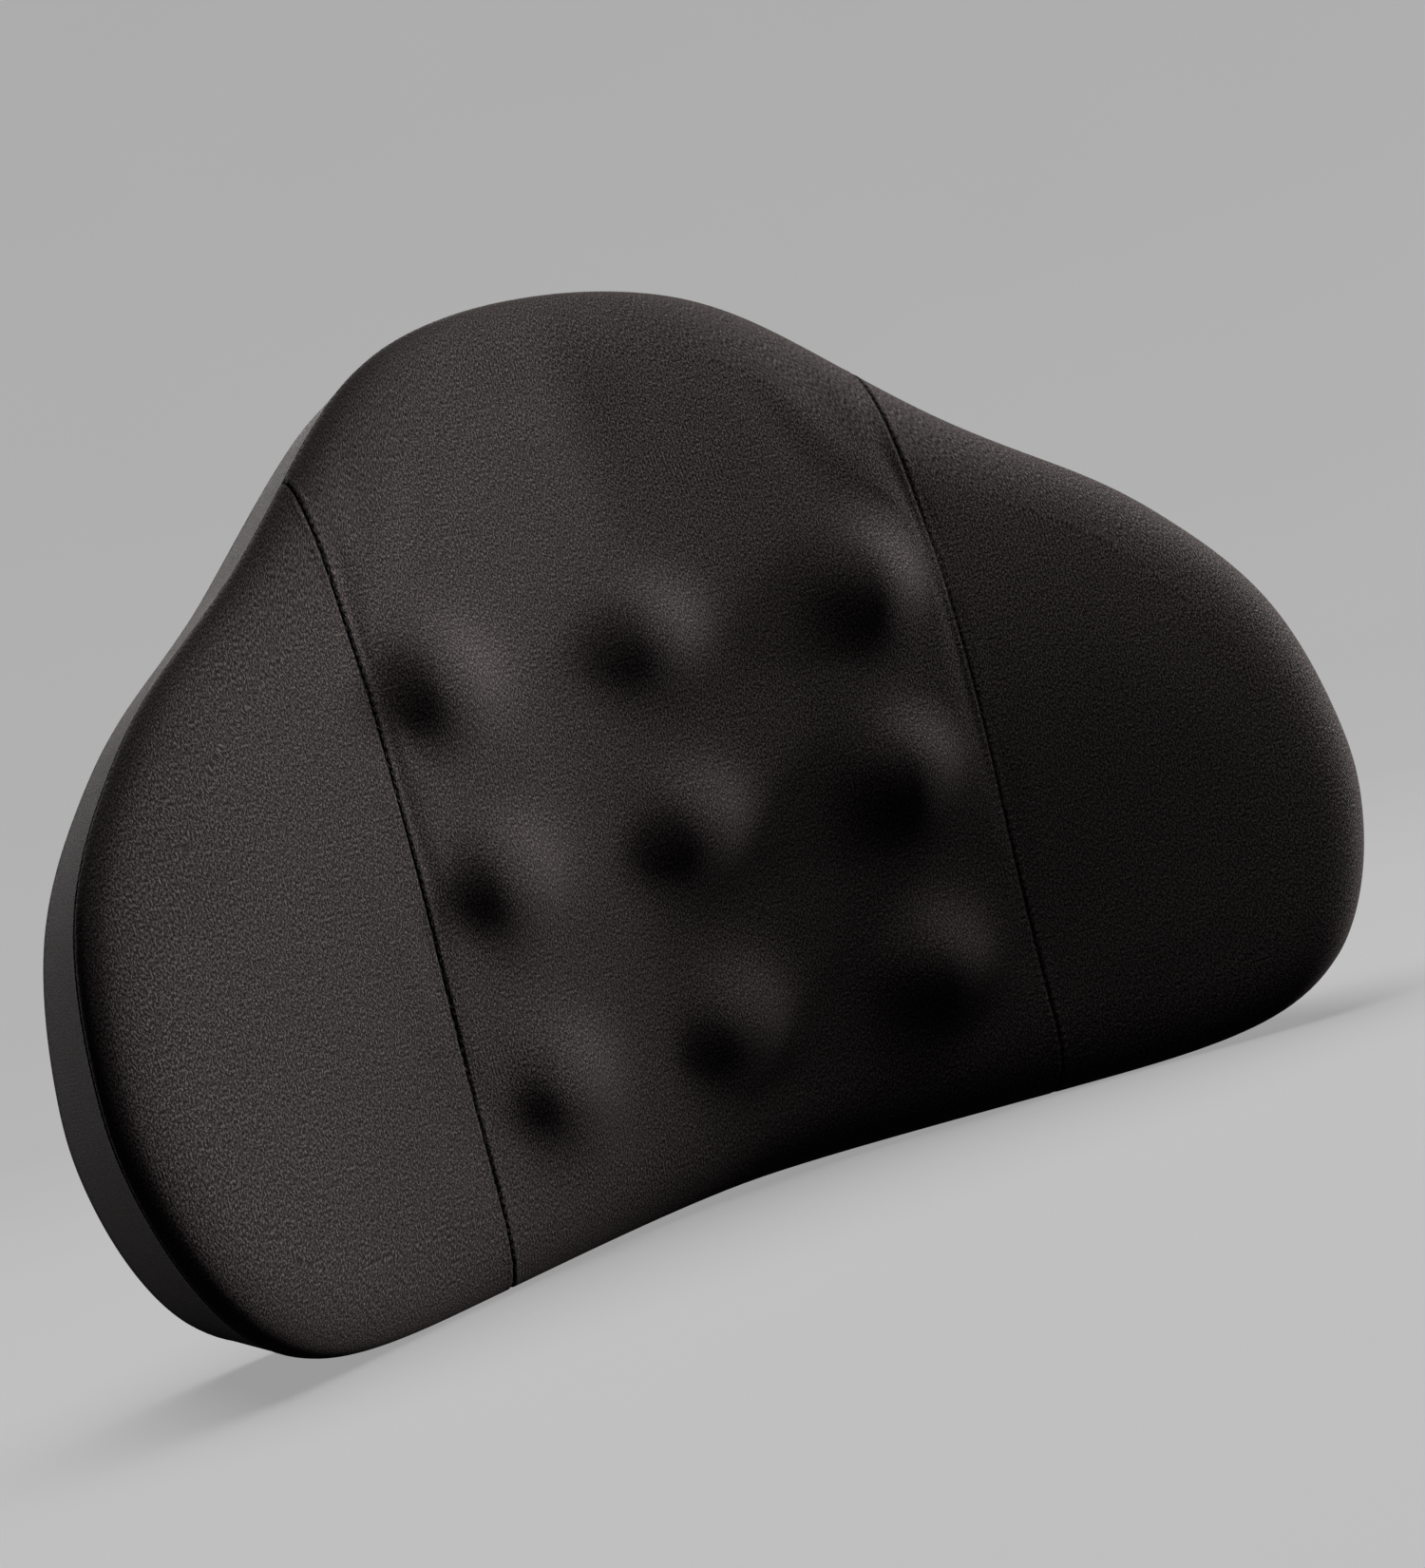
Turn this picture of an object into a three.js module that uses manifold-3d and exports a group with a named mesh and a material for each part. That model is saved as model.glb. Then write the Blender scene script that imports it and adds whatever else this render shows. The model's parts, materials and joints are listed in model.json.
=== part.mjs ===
// Lumbar support cushion: a foam core with nine firm domes in a zipped fabric cover, and an elastic
// strap with a side-release buckle behind it.
// Millimetres. +X is the viewer's right when facing the front, -Y is the front, +Z is up.
// While it is being built the flat of the back lies at y = 0 and the bottom at z = 0.

import * as THREE from 'three';
import { mergeVertices } from 'three/addons/utils/BufferGeometryUtils.js';
import Module from 'manifold-3d';

const wasm = await Module();
wasm.setup();

// ---------- driving dimensions ----------

const gap = 0.3; // clearance between pieces that touch

// Right half of the outline seen from the front, as B-spline control points from top to bottom.
const outlineControl = [
  [0, 315], [42.6, 309], [78, 292.5], [127, 235.5], [169, 205.5], [189, 182.5], [214.5, 146],
  [220.4, 94.5], [219, 71], [209, 34], [184, 0.4], [115, 0], [44.6, 1.6], [0, 2.6],
];
const halfWidth = 220;
const outlineCenter = { x: 0, z: 135 };

const centerThickness = 47; // back plane to front surface, before crown and wings
const wingRise = 86; // how far the wing tips curve forward
const crown = 17; // forward swell of the front, highest a little above mid height
const crownHeight = 168;
const crownSpread = 95;
const wingSweep = 47.7; // how far the back curves forward at the tips
const flatHalfWidth = 105; // the back is flat up to here
const frontEdgeRadius = 15.6;

const clothThickness = 1.6;
const foamInset = 3.2;
const seamX = 104; // joins between the centre panel and the wings

const domeRadius = 21; // foot of each bump on the cover
const domeHeight = 9;
const domeFoot = 6; // depth of each firm dome's foot in the foam
const domeRows = [
  { name: 'top', z: 187, pitch: 77 },
  { name: 'middle', z: 122.5, pitch: 73 },
  { name: 'bottom', z: 56, pitch: 70 },
];
const domeColumns = [
  { name: 'left', factor: -1 },
  { name: 'center', factor: 0 },
  { name: 'right', factor: 1 },
];

const zipZ = 45;
const zipHalfLength = 98;
const zipWindow = 4.5; // half height of the gap between the two back panels
const tapeWidth = 12;
const tapeThickness = 0.6;
const coilWidth = 2.1;
const coilTop = -0.5;
const coilBottom = -1.9;
const sliderX = 90; // closed position
const sliderLength = 10;
const tabLength = 24;
const tabWidth = 7;
const tabThickness = 1;
const tabAxisY = 1.9;

const strapZ = 160;
const strapWidth = 25;
const strapThickness = 1.5;
const strapEndX = 165;
const buckleY = 4.6; // middle plane of the buckle
const buckleHeight = 34;
const buckleThickness = 8;

// ---------- colours ----------

function material(color, roughness, metalness = 0) {
  return new THREE.MeshStandardMaterial({ color, roughness, metalness });
}

const knit = material(0x2b2727, 0.85);
const backMesh = material(0x242122, 0.9);
const foam = material(0xd8cfb4, 0.95);
const siliconeGel = material(0x4a4a4c, 0.55);
const zipCloth = material(0x1b1a1b, 0.8);
const zipNylon = material(0x161617, 0.45);
const zipMetal = material(0x2a2a2c, 0.4, 0.8);
const elastic = material(0x18181a, 0.75);
const acetal = material(0x121213, 0.4);

// ---------- solids ----------

function solid(geometry) {
  const bare = geometry.clone();
  bare.deleteAttribute('normal');
  bare.deleteAttribute('uv');
  const merged = mergeVertices(bare, 1e-4);
  return new wasm.Manifold(new wasm.Mesh({
    numProp: 3,
    vertProperties: new Float32Array(merged.attributes.position.array),
    triVerts: new Uint32Array(merged.index.array),
  }));
}

function geometryOf(manifold) {
  const mesh = manifold.getMesh();
  const geometry = new THREE.BufferGeometry();
  geometry.setAttribute('position', new THREE.BufferAttribute(mesh.vertProperties, 3));
  geometry.setIndex(new THREE.BufferAttribute(mesh.triVerts, 1));
  return geometry;
}

function block(x0, x1, y0, y1, z0, z1) {
  const geometry = new THREE.BoxGeometry(x1 - x0, y1 - y0, z1 - z0);
  geometry.translate((x0 + x1) / 2, (y0 + y1) / 2, (z0 + z1) / 2);
  return solid(geometry);
}

// Closed solid between the surfaces y = near(x, z) and y = far(x, z) over a grid.
function slab(xs, zs, near, far) {
  const positions = [];
  const index = [];
  for (const surface of [near, far]) {
    for (const x of xs) {
      for (const z of zs) positions.push(x, surface(x, z), z);
    }
  }
  const rows = zs.length;
  const layer = xs.length * rows;
  const at = (i, k, side) => side * layer + i * rows + k;
  const quad = (a, b, c, d) => index.push(a, b, c, a, c, d);
  const lastX = xs.length - 1;
  const lastZ = rows - 1;
  for (let i = 0; i < lastX; i += 1) {
    for (let k = 0; k < lastZ; k += 1) {
      quad(at(i, k, 0), at(i + 1, k, 0), at(i + 1, k + 1, 0), at(i, k + 1, 0));
      quad(at(i, k, 1), at(i, k + 1, 1), at(i + 1, k + 1, 1), at(i + 1, k, 1));
    }
    quad(at(i, 0, 0), at(i, 0, 1), at(i + 1, 0, 1), at(i + 1, 0, 0));
    quad(at(i, lastZ, 0), at(i + 1, lastZ, 0), at(i + 1, lastZ, 1), at(i, lastZ, 1));
  }
  for (let k = 0; k < lastZ; k += 1) {
    quad(at(0, k, 0), at(0, k + 1, 0), at(0, k + 1, 1), at(0, k, 1));
    quad(at(lastX, k, 0), at(lastX, k, 1), at(lastX, k + 1, 1), at(lastX, k + 1, 0));
  }
  const geometry = new THREE.BufferGeometry();
  geometry.setAttribute('position', new THREE.Float32BufferAttribute(positions, 3));
  geometry.setIndex(index);
  return solid(geometry);
}

function steps(low, high, count) {
  return Array.from({ length: count + 1 }, (_, i) => low + ((high - low) * i) / count);
}

// A flat plate: an outline in X and Z, between two depths in Y.
function plate(points, y0, y1) {
  const shape = new THREE.Shape(points.map(([x, z]) => new THREE.Vector2(x, z)));
  const geometry = new THREE.ExtrudeGeometry(shape, { depth: y1 - y0, bevelEnabled: false });
  geometry.rotateX(Math.PI / 2);
  geometry.translate(0, y1, 0);
  return solid(geometry);
}

// A band of even thickness along a path in X and Y, extruded over its width in Z.
function ribbon(path, thickness, z0, z1) {
  const offset = (sign) => path.map(([x, y], i) => {
    const [ax, ay] = path[Math.max(i - 1, 0)];
    const [bx, by] = path[Math.min(i + 1, path.length - 1)];
    const length = Math.hypot(bx - ax, by - ay);
    const reach = (sign * thickness) / 2;
    return new THREE.Vector2(x - ((by - ay) / length) * reach, y + ((bx - ax) / length) * reach);
  });
  const shape = new THREE.Shape([...offset(1), ...offset(-1).reverse()]);
  const geometry = new THREE.ExtrudeGeometry(shape, { depth: z1 - z0, bevelEnabled: false });
  geometry.translate(0, 0, z0);
  return solid(geometry);
}

const pieces = [];

function add(name, manifold, look) {
  const mesh = new THREE.Mesh(geometryOf(manifold), look);
  mesh.name = name;
  pieces.push(mesh);
}

// ---------- shape of the cushion ----------

// Closed uniform cubic B-spline through the mirrored control points.
function outlinePoints(stepsPerSpan) {
  const right = outlineControl;
  const left = right.slice(1, -1).reverse().map(([x, z]) => [-x, z]);
  const control = [...right, ...left];
  const count = control.length;
  const points = [];
  for (let i = 0; i < count; i += 1) {
    const span = [0, 1, 2, 3].map((k) => control[(i + k) % count]);
    for (let s = 0; s < stepsPerSpan; s += 1) {
      const t = s / stepsPerSpan;
      const weights = [
        (1 - t) ** 3, 3 * t ** 3 - 6 * t ** 2 + 4, -3 * t ** 3 + 3 * t ** 2 + 3 * t + 1, t ** 3,
      ];
      const mix = (axis) => span.reduce((sum, point, k) => sum + (point[axis] * weights[k]) / 6, 0);
      points.push({ x: mix(0), z: mix(1) });
    }
  }
  return points;
}

// The same outline moved inwards by a distance; the points run clockwise seen from the front.
function insetOutline(points, distance) {
  return points.map((point, i) => {
    const before = points.at(i - 1);
    const after = points[(i + 1) % points.length];
    const dx = after.x - before.x;
    const dz = after.z - before.z;
    const length = Math.hypot(dx, dz);
    return { x: point.x + (dz / length) * distance, z: point.z - (dx / length) * distance };
  });
}

function frontDepth(x, z) {
  const across = Math.abs(x) / halfWidth;
  const wings = wingRise * across ** 1.54 * (1 - 0.21 * ((z - 110) / 110));
  const swell = crown * Math.exp(-(((z - crownHeight) / crownSpread) ** 2)) * (1 - 0.78 * across ** 2);
  return centerThickness + wings + swell + 0.046 * (z - 150);
}

function backDepth(x, z) {
  const beyond = Math.max(0, Math.abs(x) - flatHalfWidth) / (halfWidth - flatHalfWidth);
  return wingSweep * beyond ** 1.1 * (1 + 0.494 * ((z - 110) / 110));
}

const outline = outlinePoints(2);

// Everything behind a front surface inset by a distance, with rolled edges, back to a flat far end.
function frontBlock(inset) {
  const farEnd = 30;
  const radius = frontEdgeRadius - inset;
  const rings = [];
  const rim = insetOutline(outline, inset + radius);
  for (const scale of [0.3, 0.6, 0.85]) {
    rings.push(rim.map(({ x, z }) => {
      const px = outlineCenter.x + (x - outlineCenter.x) * scale;
      const pz = outlineCenter.z + (z - outlineCenter.z) * scale;
      return [px, inset - frontDepth(px, pz), pz];
    }));
  }
  for (const angle of steps(0, Math.PI / 2, 3)) {
    const line = insetOutline(outline, inset + radius * (1 - Math.sin(angle)));
    rings.push(line.map(({ x, z }, i) => {
      const front = frontDepth(rim[i].x, rim[i].z);
      const edge = frontDepth(outline[i].x, outline[i].z);
      const depth = front + (edge - front) * Math.sin(angle);
      return [x, inset - depth + radius * (1 - Math.cos(angle)), z];
    }));
  }
  rings.push(insetOutline(outline, inset).map(({ x, z }) => [x, farEnd, z]));

  const size = outline.length;
  const positions = [];
  rings.forEach((ring) => ring.forEach((point) => positions.push(...point)));
  const { x: cx, z: cz } = outlineCenter;
  positions.push(cx, inset - frontDepth(cx, cz), cz, cx, farEnd, cz);
  const frontCenter = rings.length * size;
  const backCenter = frontCenter + 1;
  const index = [];
  for (let i = 0; i < size; i += 1) {
    const j = (i + 1) % size;
    index.push(frontCenter, j, i);
    for (let r = 0; r < rings.length - 1; r += 1) {
      const near = r * size;
      const next = near + size;
      index.push(near + i, near + j, next + j, near + i, next + j, next + i);
    }
    const last = (rings.length - 1) * size;
    index.push(last + i, last + j, backCenter);
  }
  const geometry = new THREE.BufferGeometry();
  geometry.setAttribute('position', new THREE.Float32BufferAttribute(positions, 3));
  geometry.setIndex(index);
  return solid(geometry);
}

// Columns follow the flat of the back; rows are only needed where the surface twists.
const wideColumns = [-240, -205, -185, -165, -145, -125, -flatHalfWidth];
const backColumns = [...wideColumns, ...wideColumns.map((x) => -x).reverse()];
const backRows = [-20, 50, 110, 145, 175, 240, 340];

function behind(distance) {
  return slab(backColumns, backRows, (x, z) => -backDepth(x, z) - distance, () => 60);
}

function body(inset) {
  return frontBlock(inset).subtract(behind(inset));
}

// Places a piece made around +Z, foot at the origin, on the front surface with +Z pointing out.
function onFront(manifold, x, z, inset) {
  const reach = 0.5;
  const slopeX = (frontDepth(x + reach, z) - frontDepth(x - reach, z)) / (2 * reach);
  const slopeZ = (frontDepth(x, z + reach) - frontDepth(x, z - reach)) / (2 * reach);
  const outward = new THREE.Vector3(-slopeX, -1, -slopeZ).normalize();
  const turn = new THREE.Quaternion().setFromUnitVectors(new THREE.Vector3(0, 0, 1), outward);
  const place = new THREE.Vector3(x, -frontDepth(x, z), z).addScaledVector(outward, -inset);
  const matrix = new THREE.Matrix4().compose(place, turn, new THREE.Vector3(1, 1, 1));
  return solid(geometryOf(manifold).applyMatrix4(matrix));
}

// A dome with a straight foot. Its top keeps the cover's curve, moved inwards by inset.
function dome(inset, footDepth) {
  const arcSteps = 2;
  const around = 12;
  const sphere = (domeRadius ** 2 + domeHeight ** 2) / (2 * domeHeight);
  const centerHeight = domeHeight - sphere;
  const radius = sphere - inset;
  const widest = Math.acos(Math.min(1, (inset - centerHeight) / radius));
  const profile = steps(0, widest, arcSteps).map((angle) => (
    new THREE.Vector2(radius * Math.sin(angle), centerHeight + radius * Math.cos(angle))
  ));
  const foot = profile.at(-1).x;
  profile.push(new THREE.Vector2(foot, -footDepth), new THREE.Vector2(0, -footDepth));
  profile[0].x = 0;
  const geometry = new THREE.LatheGeometry(profile.reverse(), around);
  geometry.rotateX(Math.PI / 2);
  return solid(geometry);
}

const domes = domeRows.flatMap((row) => domeColumns.map((column) => (
  { name: `massage_nub_${row.name}_${column.name}`, x: row.pitch * column.factor, z: row.z }
)));

// ---------- cover ----------

function cover() {
  let outer = body(0);
  let inner = body(clothThickness);
  for (const { x, z } of domes) {
    outer = outer.add(onFront(dome(0, 6), x, z, 0));
    inner = inner.add(onFront(dome(clothThickness, 8), x, z, 0));
  }
  const shell = outer.subtract(inner);

  // The front panels end and the border begins on a line around the rolled edge.
  const frontColumns = steps(-240, 240, 16);
  const frontRows = steps(-20, 340, 6);
  const before = (distance) => slab(
    frontColumns,
    frontRows,
    () => -200,
    (x, z) => frontEdgeRadius + distance - frontDepth(x, z),
  );
  const front = shell.intersect(before(-gap / 2));
  const half = seamX - gap / 2;
  add('cover_center_panel', front.intersect(block(-half, half, -200, 60, -20, 340)), knit);
  const outside = seamX + gap / 2;
  add('cover_wing_left', front.intersect(block(-260, -outside, -220, 60, -20, 340)), knit);
  add('cover_wing_right', front.intersect(block(outside, 260, -220, 60, -20, 340)), knit);

  const backSkin = shell.intersect(behind(clothThickness));
  add('cover_border', shell.subtract(before(gap / 2)).subtract(behind(clothThickness + gap)), knit);

  const opening = block(
    -zipHalfLength - 3, zipHalfLength + 3, -clothThickness - 1, 5, zipZ - zipWindow, zipZ + zipWindow,
  );
  const backCut = backSkin.subtract(opening);
  add('cover_back_lower', backCut.intersect(block(-260, 260, -150, 60, -20, zipZ - gap / 2)), backMesh);
  add('cover_back_upper', backCut.intersect(block(-260, 260, -150, 60, zipZ + gap / 2, 340)), backMesh);
}

// ---------- filling ----------

function filling() {
  let core = body(foamInset);
  for (const { name, x, z } of domes) {
    const inset = clothThickness + gap;
    const socket = dome(inset - gap, foamInset + domeFoot + gap);
    core = core.subtract(onFront(socket, x, z, 0));
    add(name, onFront(dome(inset, foamInset + domeFoot), x, z, 0), siliconeGel);
  }
  add('foam_core', core, foam);
}

// ---------- zip ----------

function zip() {
  const tapeOuter = -clothThickness - 2 * gap;
  const reach = zipHalfLength + 6;
  const coilReach = zipHalfLength - 1.5;
  for (const { name, side } of [{ name: 'upper', side: 1 }, { name: 'lower', side: -1 }]) {
    const band = (x, y0, y1, width) => {
      const edges = [zipZ + side * gap, zipZ + side * (gap + width)].sort((a, b) => a - b);
      return block(-x, x, y0, y1, edges[0], edges[1]);
    };
    add(`zipper_tape_${name}`, band(reach, tapeOuter - tapeThickness, tapeOuter, tapeWidth), zipCloth);
    add(`zipper_coil_${name}`, band(coilReach, coilBottom, coilTop, coilWidth), zipNylon);
  }
  for (const { name, x } of [{ name: 'left', x: -zipHalfLength }, { name: 'right', x: zipHalfLength }]) {
    add(`zipper_stop_${name}`, block(x - 1.1, x + 1.1, coilBottom, coilTop, zipZ - 2.4, zipZ + 2.4), zipMetal);
  }

  // The slider rides on the coils, with a rail down each side and an arch for the tab.
  const x0 = sliderX - sliderLength / 2;
  const x1 = sliderX + sliderLength / 2;
  const top = 1;
  const half = 4;
  const railInner = 2.7;
  const archHalf = 3.8;
  let slider = block(x0, x1, coilTop + gap, top, zipZ - half, zipZ + half);
  for (const side of [-1, 1]) {
    const edges = [zipZ + side * railInner, zipZ + side * half].sort((a, b) => a - b);
    slider = slider.add(block(x0, x1, coilBottom + gap / 2, 0, edges[0], edges[1]));
  }
  slider = slider.add(block(sliderX - archHalf, sliderX + archHalf, 0, 3.6, zipZ - 1, zipZ + 1));
  slider = slider.subtract(block(sliderX - 3, sliderX + 3, top, 2.8, zipZ - 2, zipZ + 2));
  add('zipper_slider', slider, zipMetal);

  const tail = sliderX - tabLength;
  const halfTab = tabWidth / 2;
  const tabOutline = [
    [sliderX + 0.5, -2.9], [sliderX + 0.5, 2.9], [sliderX - 6, halfTab], [tail + 1.5, halfTab],
    [tail, halfTab - 1.5], [tail, 1.5 - halfTab], [tail + 1.5, -halfTab], [sliderX - 6, -halfTab],
  ].map(([x, z]) => [x, zipZ + z]);
  const y0 = tabAxisY - tabThickness / 2;
  const y1 = tabAxisY + tabThickness / 2;
  const tab = plate(tabOutline, y0, y1)
    .subtract(block(sliderX - 4.8, sliderX - 0.5, y0 - 1, y1 + 1, zipZ - 1.6, zipZ + 1.6))
    .subtract(block(tail + 3, tail + 12, y0 - 1, y1 + 1, zipZ - 1.5, zipZ + 1.5));
  add('zipper_pull_tab', tab, zipMetal);
}

// ---------- strap and buckle ----------

const bar = { half: 1.5, innerX: 26.5, outerX: 30 }; // end bar of the female half
const maleBars = { first: 16, last: 26.5 }; // the two bars of the male half, with a slot between

function strap(side, loopX, outerX) {
  const clear = gap + strapThickness / 2;
  const low = buckleY - bar.half - clear;
  const high = buckleY + bar.half + clear;
  const lowEdge = strapZ - strapWidth / 2;
  const path = [[outerX + 24, low + strapThickness + gap], [outerX + 8, low + strapThickness + gap + 0.4]];
  path.push([outerX + 1, high], [loopX + 0.2, high], [loopX - clear, buckleY + 1.6]);
  path.push([loopX - clear, buckleY - 1.6], [loopX + 0.2, low], [outerX + 6, low]);
  for (const x of [60, flatHalfWidth, 125, 145, strapEndX]) {
    path.push([x, 2 * gap + strapThickness / 2 - backDepth(x, lowEdge)]);
  }
  const placed = path.map(([x, y]) => [side * x, y]);
  return ribbon(placed, strapThickness, lowEdge, strapZ + strapWidth / 2);
}

function buckleBlock(x0, x1, halfThickness, z0, z1) {
  return block(x0, x1, buckleY - halfThickness, buckleY + halfThickness, strapZ + z0, strapZ + z1);
}

function buckle() {
  const half = buckleHeight / 2;
  const full = buckleThickness / 2;
  const slotHalf = strapWidth / 2 + 0.9;
  const through = full + 1;
  const chamfer = 4;
  const femaleOutline = [
    [-bar.outerX, chamfer - half], [-bar.outerX, half - chamfer], [-bar.outerX + chamfer, half],
    [5, half], [5, -half], [-bar.outerX + chamfer, -half],
  ].map(([x, z]) => [x, strapZ + z]);
  const female = plate(femaleOutline, buckleY - full, buckleY + full)
    .subtract(buckleBlock(-15.8, 6, 2.4, -14.2, 14.2))
    .subtract(buckleBlock(-12, -4, 2.4, -half - 1, half + 1))
    .subtract(buckleBlock(-bar.innerX, -22, through, -slotHalf, slotHalf))
    .subtract(block(-40, -22, buckleY + bar.half, buckleY + through, strapZ - slotHalf, strapZ + slotHalf))
    .subtract(block(-40, -22, buckleY - through, buckleY - bar.half, strapZ - slotHalf, strapZ + slotHalf));
  add('buckle_female', female, acetal);

  const maleOutline = [
    [8.8, -half], [8.8, half], [maleBars.last - chamfer, half], [maleBars.last, half - chamfer],
    [maleBars.last, chamfer - half], [maleBars.last - chamfer, -half],
  ].map(([x, z]) => [x, strapZ + z]);
  const slotX = 12.2;
  const male = plate(maleOutline, buckleY - full, buckleY + full)
    .subtract(buckleBlock(slotX, maleBars.first, through, -slotHalf, slotHalf))
    .subtract(buckleBlock(19.5, 23, through, -slotHalf, slotHalf))
    .subtract(block(slotX, 40, buckleY + bar.half, buckleY + through, strapZ - slotHalf, strapZ + slotHalf))
    .subtract(block(slotX, 40, buckleY - through, buckleY - bar.half, strapZ - slotHalf, strapZ + slotHalf))
    .add(buckleBlock(-8, 9, 1.8, -2, 2));
  add('buckle_male', male, acetal);

  // Spring prongs: each bows from its root to a catch that shows in the side window.
  const prong = [
    [8.2, 6.2], [8.2, 10.6], [2, 12.4], [-4.4, 13], [-4.4, 16.2], [-7.5, 15.9], [-11, 13], [-14.8, 9.4],
    [-14.8, 7], [-9, 9.2], [2, 8.2],
  ];
  for (const { name, side } of [{ name: 'upper', side: 1 }, { name: 'lower', side: -1 }]) {
    const outlinePath = prong.map(([x, z]) => [x, strapZ + side * z]);
    add(`buckle_prong_${name}`, plate(outlinePath, buckleY - 1.8, buckleY + 1.8), acetal);
  }
}

// ---------- assembly ----------

cover();
filling();
zip();
add('strap_left', strap(-1, bar.innerX, bar.outerX), elastic);
add('strap_right', strap(1, maleBars.first, maleBars.last), elastic);
buckle();

const cushion = new THREE.Group();
cushion.add(...pieces);

// The origin is at the middle of the bottom of the whole cushion.
const bounds = new THREE.Box3().setFromObject(cushion);
const middle = bounds.getCenter(new THREE.Vector3());
cushion.position.set(-middle.x, -middle.y, -bounds.min.z);

export default cushion;
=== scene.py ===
import json
import math
import random

import bmesh
import bpy
import numpy as np
from mathutils import Matrix, Vector
from mathutils.bvhtree import BVHTree
from mathutils.kdtree import KDTree

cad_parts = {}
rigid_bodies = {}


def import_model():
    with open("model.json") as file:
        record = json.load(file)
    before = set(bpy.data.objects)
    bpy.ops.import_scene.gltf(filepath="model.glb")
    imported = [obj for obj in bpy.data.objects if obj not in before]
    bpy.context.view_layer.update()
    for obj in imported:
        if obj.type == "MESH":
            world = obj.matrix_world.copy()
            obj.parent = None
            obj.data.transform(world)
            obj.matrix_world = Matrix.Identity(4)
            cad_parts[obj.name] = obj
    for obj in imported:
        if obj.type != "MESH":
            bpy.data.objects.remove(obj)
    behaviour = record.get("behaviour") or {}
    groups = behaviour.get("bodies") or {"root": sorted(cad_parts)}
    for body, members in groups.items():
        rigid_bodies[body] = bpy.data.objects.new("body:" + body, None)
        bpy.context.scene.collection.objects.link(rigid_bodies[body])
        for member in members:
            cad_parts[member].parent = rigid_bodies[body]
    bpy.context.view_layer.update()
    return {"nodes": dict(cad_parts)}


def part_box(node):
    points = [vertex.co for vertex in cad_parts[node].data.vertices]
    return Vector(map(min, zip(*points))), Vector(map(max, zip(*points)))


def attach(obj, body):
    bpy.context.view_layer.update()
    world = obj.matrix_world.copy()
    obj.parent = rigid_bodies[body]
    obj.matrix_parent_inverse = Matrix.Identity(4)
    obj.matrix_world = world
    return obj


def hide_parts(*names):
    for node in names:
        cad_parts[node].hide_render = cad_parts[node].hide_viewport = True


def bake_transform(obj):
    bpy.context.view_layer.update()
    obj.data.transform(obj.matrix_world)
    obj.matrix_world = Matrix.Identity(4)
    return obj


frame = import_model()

MM = 0.001

# ---------- shape of the cushion, in millimetres ----------
# X and Z as in the frame; y = 0 is the flat of the back, and the front is at negative y.

# Control points of half the outline, from the top of the middle round to the bottom.
HALF_OUTLINE = [
    (0, 315), (42.6, 309), (78, 292.5), (127, 235.5), (169, 205.5), (189, 182.5), (214.5, 146),
    (220.4, 94.5), (219, 71), (209, 34), (184, 0.4), (115, 0), (44.6, 1.6), (0, 2.6),
]
CONTROL = np.array(HALF_OUTLINE + [(-x, z) for x, z in HALF_OUTLINE[-2:0:-1]], float)
SPANS = len(CONTROL)
HALF_WIDTH = 220.0
CENTER_THICKNESS = 47.0
WING_RISE = 86.0
WING_CURVE = 1.54
WING_LEAN = 0.21
CROWN = 17.0
CROWN_HEIGHT = 168.0
CROWN_SPREAD = 95.0
CROWN_FALL = 0.78
TILT, TILT_HEIGHT = 0.046, 150.0
WING_SWEEP = 47.7
SWEEP_LEAN = 0.494
LEAN_HEIGHT = 110.0
FLAT_HALF_WIDTH = 105.0
BACK_EASE = 0.2
SEAM_X = 104.0
ZIP_Z = 45.0
ZIP_HALF_LENGTH = 98.0
STRAP_Z = 160.0
EDGE_REACH, EDGE_DEPTH = 25.0, 15.6
BACK_RADIUS = 7.0

BUMP_HEIGHT = 12.5
BUMP_RADIUS = 17.5
BUMP_FLANK = 2.5
BUMP_ROWS = ((187.0, 77.0), (122.5, 73.0), (56.0, 70.0))
BUMPS = [(side * pitch, z) for z, pitch in BUMP_ROWS for side in (-1, 0, 1)]

# Grid of the cover: intervals across half the centre, across a wing, up the seam and round the edge.
HALF_CENTER = 26
WING = 26
ROWS = 64
EDGE_ROLL = 9
WALL = 12
BACK_ROLL = 4
ARC = 2 * WING + ROWS
RING = 2 * (2 * HALF_CENTER + ARC)

CENTER, WING_RIGHT, WING_LEFT, BORDER, BACK = range(5)


def outline_at(s):
    """Point and inward normal of the outline; s runs clockwise from 0 at the top of the middle."""
    i = np.floor(s).astype(int)
    t = (s - i)[:, None]
    span = [CONTROL[(i + k - 1) % SPANS] for k in range(4)]
    weights = [(1 - t) ** 3, 3 * t**3 - 6 * t**2 + 4, -3 * t**3 + 3 * t**2 + 3 * t + 1, t**3]
    slopes = [-3 * (1 - t) ** 2, 9 * t**2 - 12 * t, -9 * t**2 + 6 * t + 3, 3 * t**2]
    point = sum(w * p for w, p in zip(weights, span)) / 6
    tangent = sum(w * p for w, p in zip(slopes, span))
    inward = np.stack([tangent[:, 1], -tangent[:, 0]], 1)
    return point, inward / np.linalg.norm(inward, axis=1)[:, None]


OUTLINE_LOW = outline_at(np.linspace(0, SPANS, 4000))[0][:, 1].min()
BACK_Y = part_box("cover_back_upper")[1].y


def to_frame(points):
    """From the shape's millimetres to the frame's metres."""
    return np.asarray(points, float) * MM + np.array([0, BACK_Y, -OUTLINE_LOW * MM])


ORIGIN = to_frame([(0, 0, 0)])[0]


def from_frame(points):
    return (np.asarray(points, float) - ORIGIN) / MM


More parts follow.
